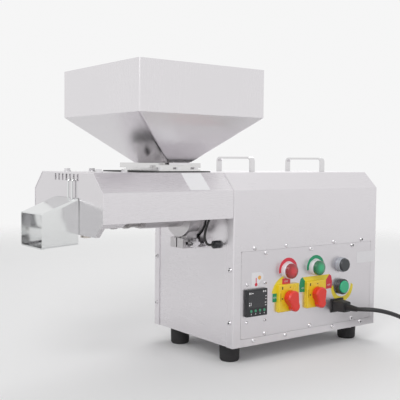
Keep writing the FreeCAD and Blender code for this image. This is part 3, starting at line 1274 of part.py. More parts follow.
def output_shaft():
    start = CLAMP_SEAT + 5
    shaft = turned_on_axis([(start, 0), (start, SOCKET_RADIUS), (CASE_FRONT - 2, SOCKET_RADIUS),
                            (CASE_FRONT - 2, SHAFT_RADIUS), (OUTPUT_GEAR_X + GEAR_FACE + 1, SHAFT_RADIUS),
                            (OUTPUT_GEAR_X + GEAR_FACE + 1, 0)])
    socket = hex_prism(Vector(start - 1, AXIS_Y, AXIS_Z), X_AXIS, HEX_TAIL + HEX_FIT, 22)
    wheel = gear(WHEEL_TEETH, OUTPUT_GEAR_X, AXIS_Z, GEAR_FACE)
    return joined([shaft.cut(socket), wheel])


def layshaft():
    start = CASE_FRONT + 4.5
    end = REAR_BEARING_X + BEARING_WIDTH - 0.5
    shaft = rod(Vector(start, AXIS_Y, LAY_Z), X_AXIS, SHAFT_RADIUS, end - start)
    return joined([shaft, gear(PINION_TEETH, OUTPUT_GEAR_X, LAY_Z, GEAR_FACE),
                   gear(WHEEL_TEETH, INPUT_GEAR_X, LAY_Z, GEAR_FACE - 2)])


def motor_rotor():
    start = INPUT_GEAR_X - 1
    end = FAN_X + FAN_WIDTH
    shaft = rod(Vector(start, AXIS_Y, AXIS_Z), X_AXIS, SHAFT_RADIUS, end - start)
    core = rod(Vector(STATOR_X[0] + 2, AXIS_Y, AXIS_Z), X_AXIS, ROTOR_RADIUS, STATOR_X[1] - STATOR_X[0] - 4)
    return joined([shaft, core, gear(PINION_TEETH, INPUT_GEAR_X, AXIS_Z, GEAR_FACE - 2)])


def motor_housing():
    front = CASE_END + COVER_PLATE
    shaft_hole = SHAFT_RADIUS + 1
    body = turned_on_axis([(front, MOTOR_RADIUS - 6), (front, MOTOR_RADIUS), (MOTOR_END, MOTOR_RADIUS),
                           (MOTOR_END, shaft_hole), (MOTOR_END - BEARING_WIDTH - 3, shaft_hole),
                           (MOTOR_END - BEARING_WIDTH - 3, MOTOR_RADIUS - 6), (STATOR_X[1], MOTOR_RADIUS - 6),
                           (STATOR_X[1], STATOR_BORE), (STATOR_X[0], STATOR_BORE), (STATOR_X[0], MOTOR_RADIUS - 6)])
    fins = []
    for number in range(FIN_COUNT):
        fin = block((front + 10, MOTOR_END - 8), around(AXIS_Y, FIN_THICK),
                    (AXIS_Z + MOTOR_RADIUS - 2, AXIS_Z + MOTOR_RADIUS + FIN_HEIGHT))
        fin.rotate(Vector(0, AXIS_Y, AXIS_Z), X_AXIS, 360 * number / FIN_COUNT)
        fins.append(fin)
    return joined([body] + fins).cut(seat(bearing_places()[-1]))


def cooling_fan():
    hub = turned_on_axis([(FAN_X, SHAFT_RADIUS), (FAN_X, 17), (FAN_X + FAN_WIDTH, 17), (FAN_X + FAN_WIDTH, SHAFT_RADIUS)])
    disc = turned_on_axis([(FAN_X, 15), (FAN_X, FAN_RADIUS), (FAN_X + 1.5, FAN_RADIUS), (FAN_X + 1.5, 15)])
    blades = []
    for number in range(FAN_BLADES):
        blade = block((FAN_X, FAN_X + FAN_WIDTH), around(AXIS_Y, 1.6), (AXIS_Z + 15, AXIS_Z + FAN_RADIUS))
        blade.rotate(Vector(0, AXIS_Y, AXIS_Z), X_AXIS, 360 * number / FAN_BLADES)
        blades.append(blade)
    return joined([hub, disc] + blades)


def fan_cowl():
    inner = MOTOR_RADIUS + FIN_HEIGHT + FIT_GAP
    outer = inner + COWL_WALL
    start = MOTOR_END - 22
    cowl = turned_on_axis([(start, inner), (start, outer), (COWL_END - 12, outer), (COWL_END, outer - 12),
                           (COWL_END, 0), (COWL_END - COWL_WALL, 0), (COWL_END - COWL_WALL, outer - 12.5),
                           (COWL_END - 12.5, inner)])
    width, pitch = COWL_SLOT
    slots = [block((COWL_END - 3, COWL_END + 1), around(AXIS_Y, 2 * FAN_RADIUS - 30),
                   around(AXIS_Z + (number - (COWL_SLOTS - 1) / 2) * pitch, width)) for number in range(COWL_SLOTS)]
    return without(cowl, slots)


def drive_bracket():
    low = 2 * SHEET
    case_radius = WHEEL_RADIUS + CASE_ROOM + CASE_SKIN
    foot = block(BRACKET_FOOT, around(AXIS_Y, 2 * BRACKET_HALF), (low, low + BRACKET_PLATE))
    webs = [block((x, x + BRACKET_WEB), around(AXIS_Y, 2 * BRACKET_HALF), (low, LAY_Z - 30)) for x in BRACKET_WEBS]
    cradle = rod(Vector(0, AXIS_Y, LAY_Z), X_AXIS, case_radius, CASE_END + 20)
    cuts = [cradle] + holes(bracket_bolt_places(), Z_AXIS, M6_HEX[0] + HOLE_CLEARANCE, 12)
    return without(joined([foot] + webs), cuts)


# ---- mains lead ----
def report_tube(name, tube, wire, radii, radius):
    print(name, "radii", [round(value, 1) for value in radii], "length", round(wire.Length, 1),
          "volume ratio", round(tube.Volume / (math.pi * radius ** 2 * wire.Length), 4))


def coil_centre():
    x, y, _ = CORD_POINTS[-1]
    return Vector(x, y - COIL_RADIUS - CORD_RADIUS, FLOOR_Z)


def mains_cord():
    wire, radii = cord_path(CORD_POINTS)
    tube = swept_tube(wire, CORD_RADIUS)
    report_tube("mains_cord", tube, wire, radii, CORD_RADIUS)
    return tube


def mains_cord_coil():
    across, layers = COIL_TURNS
    half = across * CORD_RADIUS
    ring = turned([(0, COIL_RADIUS - half), (0, COIL_RADIUS + half), (2 * layers * CORD_RADIUS, COIL_RADIUS + half),
                   (2 * layers * CORD_RADIUS, COIL_RADIUS - half)], coil_centre(), Z_AXIS)
    wire = cord_path(CORD_POINTS)[0]
    return without(ring, [swept_tube(wire, CORD_RADIUS), wall_plug()])


def wall_plug():
    """Two-pin plug lying beside the coil, on the end of its outermost upper turn."""
    radius, length = PLUG_BODY[0] / 2, PLUG_BODY[1]
    centre = coil_centre()
    start = centre + Vector(PLUG_TAIL, COIL_RADIUS + CORD_RADIUS, radius)
    body = turned([(0, 0), (0, CORD_RADIUS), (PLUG_RELIEF, RELIEF_RADII[0]), (PLUG_RELIEF, 0.6 * radius),
                   (PLUG_RELIEF + 7, radius), (PLUG_RELIEF + length, radius), (PLUG_RELIEF + length, 0)], start, X_AXIS)
    pin_radius, pin_length, half = PLUG_PIN
    face = start + X_AXIS * (PLUG_RELIEF + length - 1)
    pins = [rod(face + Y_AXIS * side * half, X_AXIS, pin_radius, pin_length + 1) for side in (-1, 1)]
    return joined([body] + pins)


# ---- files ----
def save(name, shape):
    moved = shape.copy()
    moved.translate(-ORIGIN)
    moved.exportStep("parts/" + name + ".step")


def main():
    os.makedirs("parts", exist_ok=True)
    black = (COLUMN_X[2], LAMP_ROW_Z, BLACK_BUTTON)
    green = (COLUMN_X[2], START_BUTTON_Z, GREEN_BUTTON)
    nodes = {
        "base_pan": base_pan, "housing_cover": housing_cover, "front_plate": front_plate,
        "rear_plate": rear_plate, "control_panel": control_panel, "panel_frame": panel_frame,
        "rubber_feet": rubber_feet, "frame_bolts": frame_bolts, "carry_handles": carry_handles,
        "housing_screws": housing_screws,
        "temperature_controller": temperature_controller, "lamp_collars": lamp_collars,
        "red_lamp_lens": lambda: lamp_lens(COLUMN_X[0]), "green_lamp_lens": lambda: lamp_lens(COLUMN_X[1]),
        "black_button_collar": lambda: button_collar(*black), "black_button_cap": lambda: button_cap(*black),
        "green_button_collar": lambda: button_collar(*green), "green_button_cap": lambda: button_cap(*green),
        "switch_plates": switch_plates,
        "heat_switch_knob": lambda: switch_knob(COLUMN_X[0], KNOB_TURNS[0]),
        "press_switch_knob": lambda: switch_knob(COLUMN_X[1], KNOB_TURNS[1]),
        "mains_inlet": mains_inlet, "mains_connector": mains_connector, "mains_cord": mains_cord,
        "mains_cord_coil": mains_cord_coil, "wall_plug": wall_plug, "arm_cover": arm_cover,
        "arm_end_plate": arm_end_plate, "arm_bolts": arm_bolts, "head_bracket": head_bracket,
        "cake_chute": cake_chute, "clamp_housing": clamp_housing, "clamp_bolt": clamp_bolt,
        "feed_chamber": feed_chamber, "press_cage": press_cage, "nozzle_head": nozzle_head,
        "choke_nut": choke_nut, "press_screw": press_screw, "heater_band": heater_band,
        "heater_cable": heater_cable, "cable_gland": cable_gland, "top_gasket": top_gasket,
        "gate_guide": gate_guide, "guide_bolts": guide_bolts, "slide_gate": slide_gate, "hopper": hopper,
        "gearbox_case": gearbox_case, "gearbox_cover": gearbox_cover, "ball_bearings": ball_bearings,
        "output_shaft": output_shaft, "layshaft": layshaft, "motor_rotor": motor_rotor,
        "motor_housing": motor_housing, "cooling_fan": cooling_fan, "fan_cowl": fan_cowl, "drive_bracket": drive_bracket,
    }
    for number in range(KEY_COUNT):
        nodes["controller_key_%d" % (number + 1)] = lambda number=number: controller_key(number)
    for name, build in nodes.items():
        save(name, build())


main()
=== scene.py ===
import math

import bmesh
import bpy
from mathutils import Euler, Matrix, Vector


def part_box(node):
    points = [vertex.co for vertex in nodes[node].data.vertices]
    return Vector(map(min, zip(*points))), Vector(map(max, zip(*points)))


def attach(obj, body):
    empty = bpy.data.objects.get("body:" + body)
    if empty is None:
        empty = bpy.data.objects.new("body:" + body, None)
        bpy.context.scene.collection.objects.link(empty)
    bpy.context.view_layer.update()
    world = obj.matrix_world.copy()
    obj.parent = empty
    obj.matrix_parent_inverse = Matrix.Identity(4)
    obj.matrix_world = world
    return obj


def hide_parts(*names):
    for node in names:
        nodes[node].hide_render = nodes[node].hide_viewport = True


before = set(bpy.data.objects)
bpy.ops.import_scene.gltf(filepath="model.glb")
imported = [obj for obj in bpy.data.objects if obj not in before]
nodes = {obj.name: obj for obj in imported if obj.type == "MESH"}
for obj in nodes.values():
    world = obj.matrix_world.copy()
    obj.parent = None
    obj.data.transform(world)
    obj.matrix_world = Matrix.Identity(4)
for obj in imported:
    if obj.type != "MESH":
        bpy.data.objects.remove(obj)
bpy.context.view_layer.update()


# ---- Camera ----
# It stands off the corner where the cake chute is, a little above the arm, and looks slightly down.
# The lens is a short telephoto, so that the long sides stay nearly parallel.
CAMERA_PLACE = (-0.8216, -1.08535, 0.3589)
CAMERA_HEADING = math.radians(-36.59)
CAMERA_TILT = math.radians(90 - 3.11)
CAMERA_ROLL = math.radians(0.56)
camera_data = bpy.data.cameras.new("camera")
camera_data.lens = 66.12
camera_data.sensor_width = 36.0
camera = bpy.data.objects.new("camera", camera_data)
bpy.context.scene.collection.objects.link(camera)
turned = Euler((CAMERA_TILT, 0, CAMERA_HEADING)).to_matrix() @ Matrix.Rotation(CAMERA_ROLL, 3, "Z")
camera.matrix_world = Matrix.Translation(CAMERA_PLACE) @ turned.to_4x4()
bpy.context.scene.camera = camera
bpy.context.scene.view_settings.view_transform = "Standard"


# ---- Shader sums ----
# Finishes are mixed from noise and distances. A Wire is one socket of a node tree, and a sum of
# wires adds the Math nodes for it. A Recipe makes every other node.
class Wire:
    def __init__(self, tree, socket):
        self.tree = tree
        self.socket = socket

    def math(self, operation, other, reflected=False):
        node = self.tree.nodes.new("ShaderNodeMath")
        node.operation = operation
        pair = (other, self) if reflected else (self, other)
        for socket, value in zip(node.inputs, pair):
            join(self.tree, socket, value)
        return Wire(self.tree, node.outputs[0])

    def __add__(self, other):
        return self.math("ADD", other)

    def __radd__(self, other):
        return self.math("ADD", other, True)

    def __sub__(self, other):
        return self.math("SUBTRACT", other)

    def __rsub__(self, other):
        return self.math("SUBTRACT", other, True)

    def __mul__(self, other):
        return self.math("MULTIPLY", other)

    def __rmul__(self, other):
        return self.math("MULTIPLY", other, True)

    def __truediv__(self, other):
        return self.math("DIVIDE", other)


def join(tree, socket, value):
    if isinstance(value, Wire):
        tree.links.new(value.socket, socket)
    else:
        socket.default_value = value


class Recipe:
    def __init__(self, owner):
        owner.use_nodes = True
        self.owner = owner
        self.tree = owner.node_tree
        self.tree.nodes.clear()

    def node(self, kind, inputs=None, settings=None, output=0):
        made = self.tree.nodes.new("ShaderNode" + kind)
        for name, value in (settings or {}).items():
            if name == "stops":
                made.color_ramp.elements.remove(made.color_ramp.elements[1])
                made.color_ramp.elements[0].position = value[0][0]
                made.color_ramp.elements[0].color = value[0][1]
                for position, colour in value[1:]:
                    made.color_ramp.elements.new(position).color = colour
            else:
                setattr(made, name, value)
        for name, value in (inputs or {}).items():
            join(self.tree, made.inputs[name], value)
        return Wire(self.tree, made.outputs[output]) if len(made.outputs) else None

    def mix(self, share, first, second):
        return self.node("Mix", {0: share, 6: first, 7: second}, {"data_type": "RGBA"}, output=2)

    def step(self, value, low, high):
        return self.node("MapRange", {"Value": value, "From Min": low, "From Max": high},
                         {"interpolation_type": "SMOOTHSTEP"})

    def surface(self, inputs):
        self.node("OutputMaterial", {"Surface": self.node("BsdfPrincipled", inputs)})
        return self.owner


def grey(level):
    return (level, level, level, 1.0)


# ---- Floor, light and surroundings ----
# The machine stands on a pale table under two soft lamps. The camera, the steel and the lenses see
# one pale background. Other rays meet a room that is darker beyond the chute, so that side is dimmer,
# and a floor with a painted pool of light in front of the front plate.
FLOOR_REACH = 3.2
FLOOR_FADE = (1.3, 2.9)
BACKGROUND = grey(0.92)
FLOOR_SEEN = grey(0.905)
FLOOR_GLOW = (0.47, 0.44, 0.46, 1.0)
FLOOR_GLOW_FRONT = (0.86, 0.86, 0.88, 1.0)
DARK_SIDE = (-0.6, 0.8, 0.0)


def rays_that_show(recipe):
    """1 for rays that show the surroundings: from the camera, off metal and through glass."""
    kinds = [recipe.node("LightPath", output=name)
             for name in ("Is Camera Ray", "Is Glossy Ray", "Is Transmission Ray")]
    return kinds[0] + kinds[1] + kinds[2]


floor_shape = bmesh.new()
bmesh.ops.create_circle(floor_shape, cap_ends=True, radius=FLOOR_REACH, segments=96)
floor_mesh = bpy.data.meshes.new("floor")
floor_shape.to_mesh(floor_mesh)
floor_shape.free()
floor = bpy.data.objects.new("floor", floor_mesh)
bpy.context.scene.collection.objects.link(floor)
recipe = Recipe(bpy.data.materials.new("floor"))
place = recipe.node("TexCoord", output="Object")
away = recipe.node("VectorMath", {0: place}, {"operation": "LENGTH"}, output="Value")
along = recipe.node("SeparateXYZ", {0: place}, output="X")
# Painted pool of light: for bounce rays the floor is bright beyond X = -0.45 m, in front of the front plate, and a dim
# mauve grey elsewhere.
glow = recipe.mix(recipe.step(along, 0.05, -0.45), FLOOR_GLOW, FLOOR_GLOW_FRONT)
tone = recipe.mix(rays_that_show(recipe), glow, FLOOR_SEEN)
matt = recipe.node("BsdfDiffuse", {"Color": tone})
gone = recipe.node("BsdfTransparent")
faded = recipe.step(away, *FLOOR_FADE)
recipe.node("OutputMaterial", {"Surface": recipe.node("MixShader", {0: faded, 1: matt, 2: gone})})
floor.data.materials.append(recipe.owner)

world = bpy.data.worlds.new("room")
bpy.context.scene.world = world
recipe = Recipe(world)
way = recipe.node("TexCoord", output="Generated")
height = recipe.node("SeparateXYZ", {0: way}, output="Z")
side = recipe.node("VectorMath", {0: way, 1: DARK_SIDE}, {"operation": "DOT_PRODUCT"}, output="Value")
pale = recipe.node("ValToRGB", {0: height * 0.5 + 0.5}, {"stops": [
    (0.0, grey(0.7)), (0.46, grey(0.80)), (0.52, (0.98, 0.97, 1.0, 1)), (0.6, (0.95, 0.95, 0.98, 1)),
    (0.72, grey(0.62)), (1.0, grey(0.45))]})
dark = recipe.node("ValToRGB", {0: height * 0.5 + 0.5}, {"stops": [
    (0.0, grey(0.22)), (0.44, (0.2, 0.17, 0.19, 1)), (0.485, (0.1, 0.085, 0.1, 1)), (0.51, (0.2, 0.18, 0.2, 1)),
    (0.55, (0.62, 0.57, 0.6, 1)), (0.62, grey(0.75)), (0.75, grey(0.6)), (1.0, grey(0.45))]})
surroundings = recipe.mix(recipe.step(side, 0.1, 0.75), pale, dark)
seen = recipe.mix(rays_that_show(recipe), surroundings, BACKGROUND)
recipe.node("OutputWorld", {"Surface": recipe.node("Background", {"Color": seen, "Strength": 1.0})})


def soft_lamp(name, place, size, watts):
    lamp = bpy.data.lights.new(name, "AREA")
    lamp.shape = "RECTANGLE"
    lamp.size, lamp.size_y = size
    lamp.energy = watts
    made = bpy.data.objects.new(name, lamp)
    bpy.context.scene.collection.objects.link(made)
    aim = (Vector((0, 0, 0.2)) - Vector(place)).to_track_quat("-Z", "Y")
    made.matrix_world = Matrix.Translation(place) @ aim.to_matrix().to_4x4()


soft_lamp("lamp_front", (-1.5, -1.4, 1.7), (1.2, 1.2), 22)
soft_lamp("lamp_rear", (1.2, 1.2, 2.0), (1.4, 1.0), 14)


# ---- Mains lead ----
# A three-core lead with a black sheath, 8 mm thick and 1.4 m long. It leaves the connector straight,
# falls to the table in a long curve and ends in four turns of coil, with its plug on the last one.
CORD_THICKNESS = 0.008
CORD_ROUTE = [(0.2294, -0.15285, 0.0825), (0.2294, -0.16705, 0.0825), (0.2339, -0.18105, 0.0843),
              (0.2439, -0.19305, 0.0845), (0.2579, -0.20255, 0.0819), (0.2744, -0.20905, 0.0771),
              (0.2924, -0.21405, 0.0701), (0.3114, -0.21805, 0.0609), (0.3304, -0.22105, 0.0499),
              (0.3494, -0.22305, 0.0377), (0.3694, -0.22455, 0.0259), (0.3904, -0.22605, 0.0159),
              (0.4124, -0.22755, 0.0089), (0.4354, -0.22905, 0.0049), (0.4574, -0.23005, 0.004)]
COIL_OUTER = 0.052
COIL_INNER = 0.036
COIL_LAYER = 0.0084
COIL_TURNS = 4
TURN_POINTS = 16
PLUG_TAIL = 0.012

recipe = Recipe(bpy.data.materials.new("cord_sheath"))
place = recipe.node("TexCoord", output="Object")
scuffs = recipe.node("TexNoise", {"Vector": place, "Scale": 160.0, "Detail": 4.0})
grain = recipe.node("TexNoise", {"Vector": place, "Scale": 1800.0, "Detail": 2.0})
cord_sheath = recipe.surface({
    "Base Color": recipe.mix(scuffs, (0.016, 0.016, 0.017, 1), (0.036, 0.035, 0.037, 1)),
    "Roughness": 0.36 + scuffs * 0.2,
    "Normal": recipe.node("Bump", {"Strength": 0.12, "Distance": 0.0002, "Height": grain})})

coil_middle = Vector((CORD_ROUTE[-1][0], CORD_ROUTE[-1][1] - COIL_OUTER, 0))
route = [Vector(point) for point in CORD_ROUTE]
ease = 1 / math.cos(math.pi / TURN_POINTS)
for count in range(1, COIL_TURNS * TURN_POINTS + 1):
    turn = count / TURN_POINTS
    if turn <= 2:
        radius = COIL_OUTER + (COIL_INNER - COIL_OUTER) * turn / 2
    else:
        radius = COIL_INNER + (COIL_OUTER - COIL_INNER) * max(0, turn - 2.25) / 1.75
    lift = COIL_LAYER * min(1, max(0, turn - 2) * 4)
    angle = math.radians(90) - 2 * math.pi * turn
    spot = Vector((math.cos(angle), math.sin(angle), 0)) * radius * ease
    route.append(coil_middle + spot + Vector((0, 0, CORD_THICKNESS / 2 + lift)))
end = Vector((coil_middle.x + PLUG_TAIL, coil_middle.y + COIL_OUTER, CORD_THICKNESS / 2 + COIL_LAYER))
route[-1] = end - Vector((PLUG_TAIL, 0, 0))
route.append(end)
cord_line = bpy.data.curves.new("mains_lead", "CURVE")
cord_line.dimensions = "3D"
cord_line.bevel_depth = CORD_THICKNESS / 2
cord_line.bevel_resolution = 5
cord_line.resolution_u = 6
cord_line.use_fill_caps = True
spline = cord_line.splines.new("NURBS")
spline.points.add(len(route) - 1)
for point, spot in zip(spline.points, route):
    point.co = (*spot, 1)
spline.order_u = 3
spline.use_endpoint_u = True
cord_line.materials.append(cord_sheath)
mains_lead = bpy.data.objects.new("mains_lead", cord_line)
bpy.context.scene.collection.objects.link(mains_lead)
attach(mains_lead, "frame")
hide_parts("mains_cord", "mains_cord_coil")


def dress(finish, *names):
    """A CAD node keeps its mesh and takes this finish."""
    for name in names:
        for slot in nodes[name].material_slots:
            slot.material = finish


def piece(name, shape, finish, body, crease=35):
    """The finished bmesh becomes a named piece that moves with a body."""
    bmesh.ops.recalc_face_normals(shape, faces=shape.faces)
    mesh = bpy.data.meshes.new(name)
    shape.to_mesh(mesh)
    shape.free()
    mesh.polygons.foreach_set("use_smooth", [True] * len(mesh.polygons))
    mesh.set_sharp_from_angle(angle=math.radians(crease))
    mesh.materials.append(finish)
    made = bpy.data.objects.new(name, mesh)
    bpy.context.scene.collection.objects.link(made)
    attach(made, body)
    return made


def lathe(profile, centre, axis, steps=48):
    """A round piece: (distance along the axis, radius) pairs spun about the axis through centre."""
    axis = Vector(axis)
    across = axis.orthogonal().normalized()
    shape = bmesh.new()
    rim = [shape.verts.new(Vector(centre) + axis * along + across * radius) for along, radius in profile]
    edges = [shape.edges.new(pair) for pair in zip(rim, rim[1:])]
    bmesh.ops.spin(shape, geom=rim + edges, cent=centre, axis=axis, angle=2 * math.pi, steps=steps, use_merge=True)
    bmesh.ops.remove_doubles(shape, verts=shape.verts, dist=1e-6)
    return shape


# The strain relief is a tapered sleeve moulded on the lead where it leaves the connector.
# Its grooves let it bend with the lead.
RELIEF_LENGTH = 0.024
RELIEF_ROOT = 0.0066
RELIEF_TIP = 0.0047
RELIEF_RIBS = 5
GROOVE_DEPTH = 0.0007
relief_start = Vector(CORD_ROUTE[0]) + Vector((0, 0.0105, 0))
profile = [(0, 0.003), (0, RELIEF_ROOT)]
pitch = RELIEF_LENGTH / (RELIEF_RIBS + 1)
for rib in range(1, RELIEF_RIBS + 1):
    radius = RELIEF_ROOT + (RELIEF_TIP - RELIEF_ROOT) * rib / (RELIEF_RIBS + 1)
    middle = rib * pitch
    profile += [(middle - 0.2 * pitch, radius), (middle - 0.15 * pitch, radius - GROOVE_DEPTH),
                (middle + 0.15 * pitch, radius - GROOVE_DEPTH), (middle + 0.2 * pitch, radius)]
profile += [(RELIEF_LENGTH, RELIEF_TIP), (RELIEF_LENGTH, 0.0041)]
relief = piece("strain_relief", lathe(profile, relief_start, (0, -1, 0)), cord_sheath, "frame")

recipe = Recipe(bpy.data.materials.new("moulded_plug"))
place = recipe.node("TexCoord", output="Object")
pores = recipe.node("TexNoise", {"Vector": place, "Scale": 1500.0, "Detail": 3.0})
rubs = recipe.node("TexNoise", {"Vector": place, "Scale": 55.0, "Detail": 3.0})
moulded_plug = recipe.surface({
    "Base Color": recipe.mix(rubs, (0.018, 0.018, 0.019, 1), (0.034, 0.033, 0.035, 1)),
    "Roughness": 0.42 + rubs * 0.16,
    "Normal": recipe.node("Bump", {"Strength": 0.25, "Distance": 0.0002, "Height": pores})})
dress(moulded_plug, "mains_connector", "wall_plug", "mains_inlet")


# ---- Sheet-steel cabinet ----
# The cover, plates, panel and base pan are folded from 1.5 and 2 mm stainless sheet, brushed in one
# direction before it was bent. Handling leaves faint cloudy patches in the brushing.
FINE = 2600.0


def brushed_sheet(name, tint, roughness, grain, patches=0.08):
    recipe = Recipe(bpy.data.materials.new(name))
    place = recipe.node("TexCoord", output="Object")
    stretched = recipe.node("Mapping", {"Vector": place, "Scale": grain})
    lines = recipe.node("TexNoise", {"Vector": stretched, "Scale": 1.0, "Detail": 3.0, "Roughness": 0.6})
    clouds = recipe.node("TexNoise", {"Vector": place, "Scale": 7.0, "Detail": 4.0, "Roughness": 0.55})
    shade = lines * 0.5 + clouds * 0.5
    darker = tuple(0.9 * part for part in tint[:3]) + (1.0,)
    return recipe.surface({
        "Base Color": recipe.mix(shade, darker, tint),
        "Metallic": 1.0,
        "Roughness": roughness + (lines - 0.5) * 0.12 + (clouds - 0.5) * patches,
        "Normal": recipe.node("Bump", {"Strength": 0.05, "Distance": 0.0002, "Height": lines})})


STEEL_TINT = (0.80, 0.775, 0.80, 1)
cover_steel = brushed_sheet("cover_steel", STEEL_TINT, 0.3, (30.0, FINE, FINE))
plate_steel = brushed_sheet("plate_steel", STEEL_TINT, 0.26, (FINE, 30.0, FINE))
panel_steel = brushed_sheet("panel_steel", (0.77, 0.745, 0.77, 1), 0.32, (30.0, FINE, FINE))
pan_steel = brushed_sheet("pan_steel", (0.7, 0.69, 0.7, 1), 0.4, (40.0, FINE, FINE))
dress(cover_steel, "housing_cover")
dress(plate_steel, "front_plate", "rear_plate")
dress(panel_steel, "control_panel")
dress(pan_steel, "base_pan", "panel_frame")


# ---- Feet ----
# Four black rubber buffers with a recessed bolt hold the cabinet off the table.
def soft_black(name, low, high, roughness, pore_scale, depth):
    recipe = Recipe(bpy.data.materials.new(name))
    place = recipe.node("TexCoord", output="Object")
    pores = recipe.node("TexNoise", {"Vector": place, "Scale": pore_scale, "Detail": 4.0})
    dust = recipe.node("TexNoise", {"Vector": place, "Scale": 38.0, "Detail": 5.0})
    return recipe.surface({
        "Base Color": recipe.mix(dust, low, high),
        "Roughness": roughness + dust * 0.15,
        "Normal": recipe.node("Bump", {"Strength": 0.35, "Distance": depth, "Height": pores})})


rubber = soft_black("rubber", (0.014, 0.014, 0.015, 1), (0.034, 0.033, 0.034, 1), 0.62, 900.0, 0.0003)
# A black sheet under the gate: painted shadow, standing in for the dark gap between the gate's guide and the arm's top.
shadow_gap_black = soft_black("shadow_gap_black", (0.02, 0.02, 0.02, 1), (0.05, 0.05, 0.05, 1), 0.7, 700.0, 0.0003)
black_moulding = soft_black("black_moulding", (0.014, 0.015, 0.018, 1), (0.026, 0.027, 0.03, 1), 0.3, 1900.0, 0.0001)
dress(rubber, "rubber_feet")


# ---- Housing screws ----
# Pan-head screws with a cross recess, in polished stainless steel. Each one stands where the CAD
# screw is: its island of the CAD mesh gives the place, the size and the way it points.
RECESS_SHARE = 0.58         # arm of the cross, as a share of the head's radius
RECESS_WIDTH = 0.17
RECESS_DEPTH = 0.55         # share of the head's height
HEAD_RINGS = ((1.0, 0.0), (1.0, 0.38), (0.93, 0.66), (0.80, 0.86), (0.66, 0.97))

recipe = Recipe(bpy.data.materials.new("polished_steel"))
place = recipe.node("TexCoord", output="Object")
swirl = recipe.node("TexNoise", {"Vector": place, "Scale": 420.0, "Detail": 3.0})
blotch = recipe.node("TexNoise", {"Vector": place, "Scale": 30.0, "Detail": 3.0})
polished_steel = recipe.surface({
    "Base Color": recipe.mix(blotch, (0.70, 0.69, 0.70, 1), (0.83, 0.82, 0.84, 1)),
    "Metallic": 1.0,
    "Roughness": 0.12 + swirl * 0.14,
    "Normal": recipe.node("Bump", {"Strength": 0.04, "Distance": 0.0001, "Height": swirl})})


def islands(mesh):
    """The separate solids of a CAD mesh, as lists of points."""
    shape = bmesh.new()
    shape.from_mesh(mesh)
    bmesh.ops.remove_doubles(shape, verts=shape.verts, dist=1e-6)
    left = set(shape.verts)
    found = []
    while left:
        reached = [left.pop()]
        for vert in reached:
            for edge in vert.link_edges:
                other = edge.other_vert(vert)
                if other in left:
                    left.remove(other)
                    reached.append(other)
        found.append([vert.co.copy() for vert in reached])
    shape.free()
    return found


def screw_head(shape, seat, outward, radius, height):
    """Adds one domed head with a cross recess to shape."""
    fresh = bmesh.new()
    arm, half = RECESS_SHARE * radius, RECESS_WIDTH * radius
    top = height * HEAD_RINGS[-1][1]
    cross = []
    for quarter in range(4):
        turn = Matrix.Rotation(quarter * math.pi / 2, 3, "Z")
        for x, y in ((arm, -half), (arm, half), (half, half)):
            cross.append(fresh.verts.new(turn @ Vector((x, y, top))))
    recess = fresh.faces.new(cross)
    ring = bmesh.ops.create_circle(fresh, segments=24, radius=radius * HEAD_RINGS[-1][0],
                                   matrix=Matrix.Translation((0, 0, top)))["verts"]
    ring_edges = list({edge for vert in ring for edge in vert.link_edges})
    bmesh.ops.bridge_loops(fresh, edges=ring_edges + list(recess.edges))
    for share, level in reversed(HEAD_RINGS[:-1]):
        grown = bmesh.ops.extrude_edge_only(fresh, edges=ring_edges)["geom"]
        verts = [item for item in grown if isinstance(item, bmesh.types.BMVert)]
        ring_edges = [item for item in grown if isinstance(item, bmesh.types.BMEdge)]
        for vert in verts:
            flat = Vector((vert.co.x, vert.co.y, 0)).normalized() * radius * share
            vert.co = Vector((flat.x, flat.y, height * level))
    sunk = bmesh.ops.extrude_discrete_faces(fresh, faces=[recess])["faces"][0]
    bmesh.ops.translate(fresh, verts=sunk.verts, vec=(0, 0, -RECESS_DEPTH * height))
    bmesh.ops.scale(fresh, verts=sunk.verts, vec=(0.6, 0.6, 1.0))
    bmesh.ops.contextual_create(fresh, geom=ring_edges)
    pointing = Vector(outward).to_track_quat("Z", "Y").to_matrix().to_4x4()
    bmesh.ops.transform(fresh, matrix=Matrix.Translation(seat) @ pointing, verts=fresh.verts)
    bmesh.ops.recalc_face_normals(fresh, faces=fresh.faces)
    part = bpy.data.meshes.new("screw")
    fresh.to_mesh(part)
    fresh.free()
    shape.from_mesh(part)
    bpy.data.meshes.remove(part)


HEAD_HEIGHTS = {0.0040: 0.0026, 0.0029: 0.0019}     # by head radius
screws = bmesh.new()
for island in islands(nodes["housing_screws"].data):
    low = Vector([min(point[k] for point in island) for k in range(3)])
    high = Vector([max(point[k] for point in island) for k in range(3)])
    middle = (low + high) / 2
    size = high - low
    axis = max(range(3), key=lambda k: size[k])
    across = [k for k in range(3) if k != axis]
    radius = size[across[0]] / 2
    wide = [point for point in island if math.hypot(*(point[k] - middle[k] for k in across)) > 0.9 * radius]
    lean = sum(point[axis] for point in wide) / len(wide) - middle[axis]
    outward = Vector((0, 0, 0))
    outward[axis] = math.copysign(1, lean)
    height = HEAD_HEIGHTS[min(HEAD_HEIGHTS, key=lambda known: abs(known - radius))]
    seat = middle + outward * (size[axis] / 2 - height)
    screw_head(screws, seat, outward, radius, height)
heads = piece("cross_screws", screws, polished_steel, "frame")
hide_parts("housing_screws")


# ---- Bolts and handles ----
# Hexagon bolts hold the feet, the drive and the press head. The two carrying handles are bent from
# flat bar and polished.
bar_steel = brushed_sheet("bar_steel", (0.78, 0.77, 0.78, 1), 0.2, (FINE, 60.0, FINE))
dress(polished_steel, "frame_bolts", "arm_bolts", "guide_bolts", "clamp_bolt")
dress(bar_steel, "carry_handles")


# ---- Temperature controller ----
# A 48 mm square instrument in a black case. Its face is one dark window with pale print, and four
# translucent green keys below. The print is plain bars, and the display is off.
controller_low, controller_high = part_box("temperature_controller")
face_y = controller_low.y


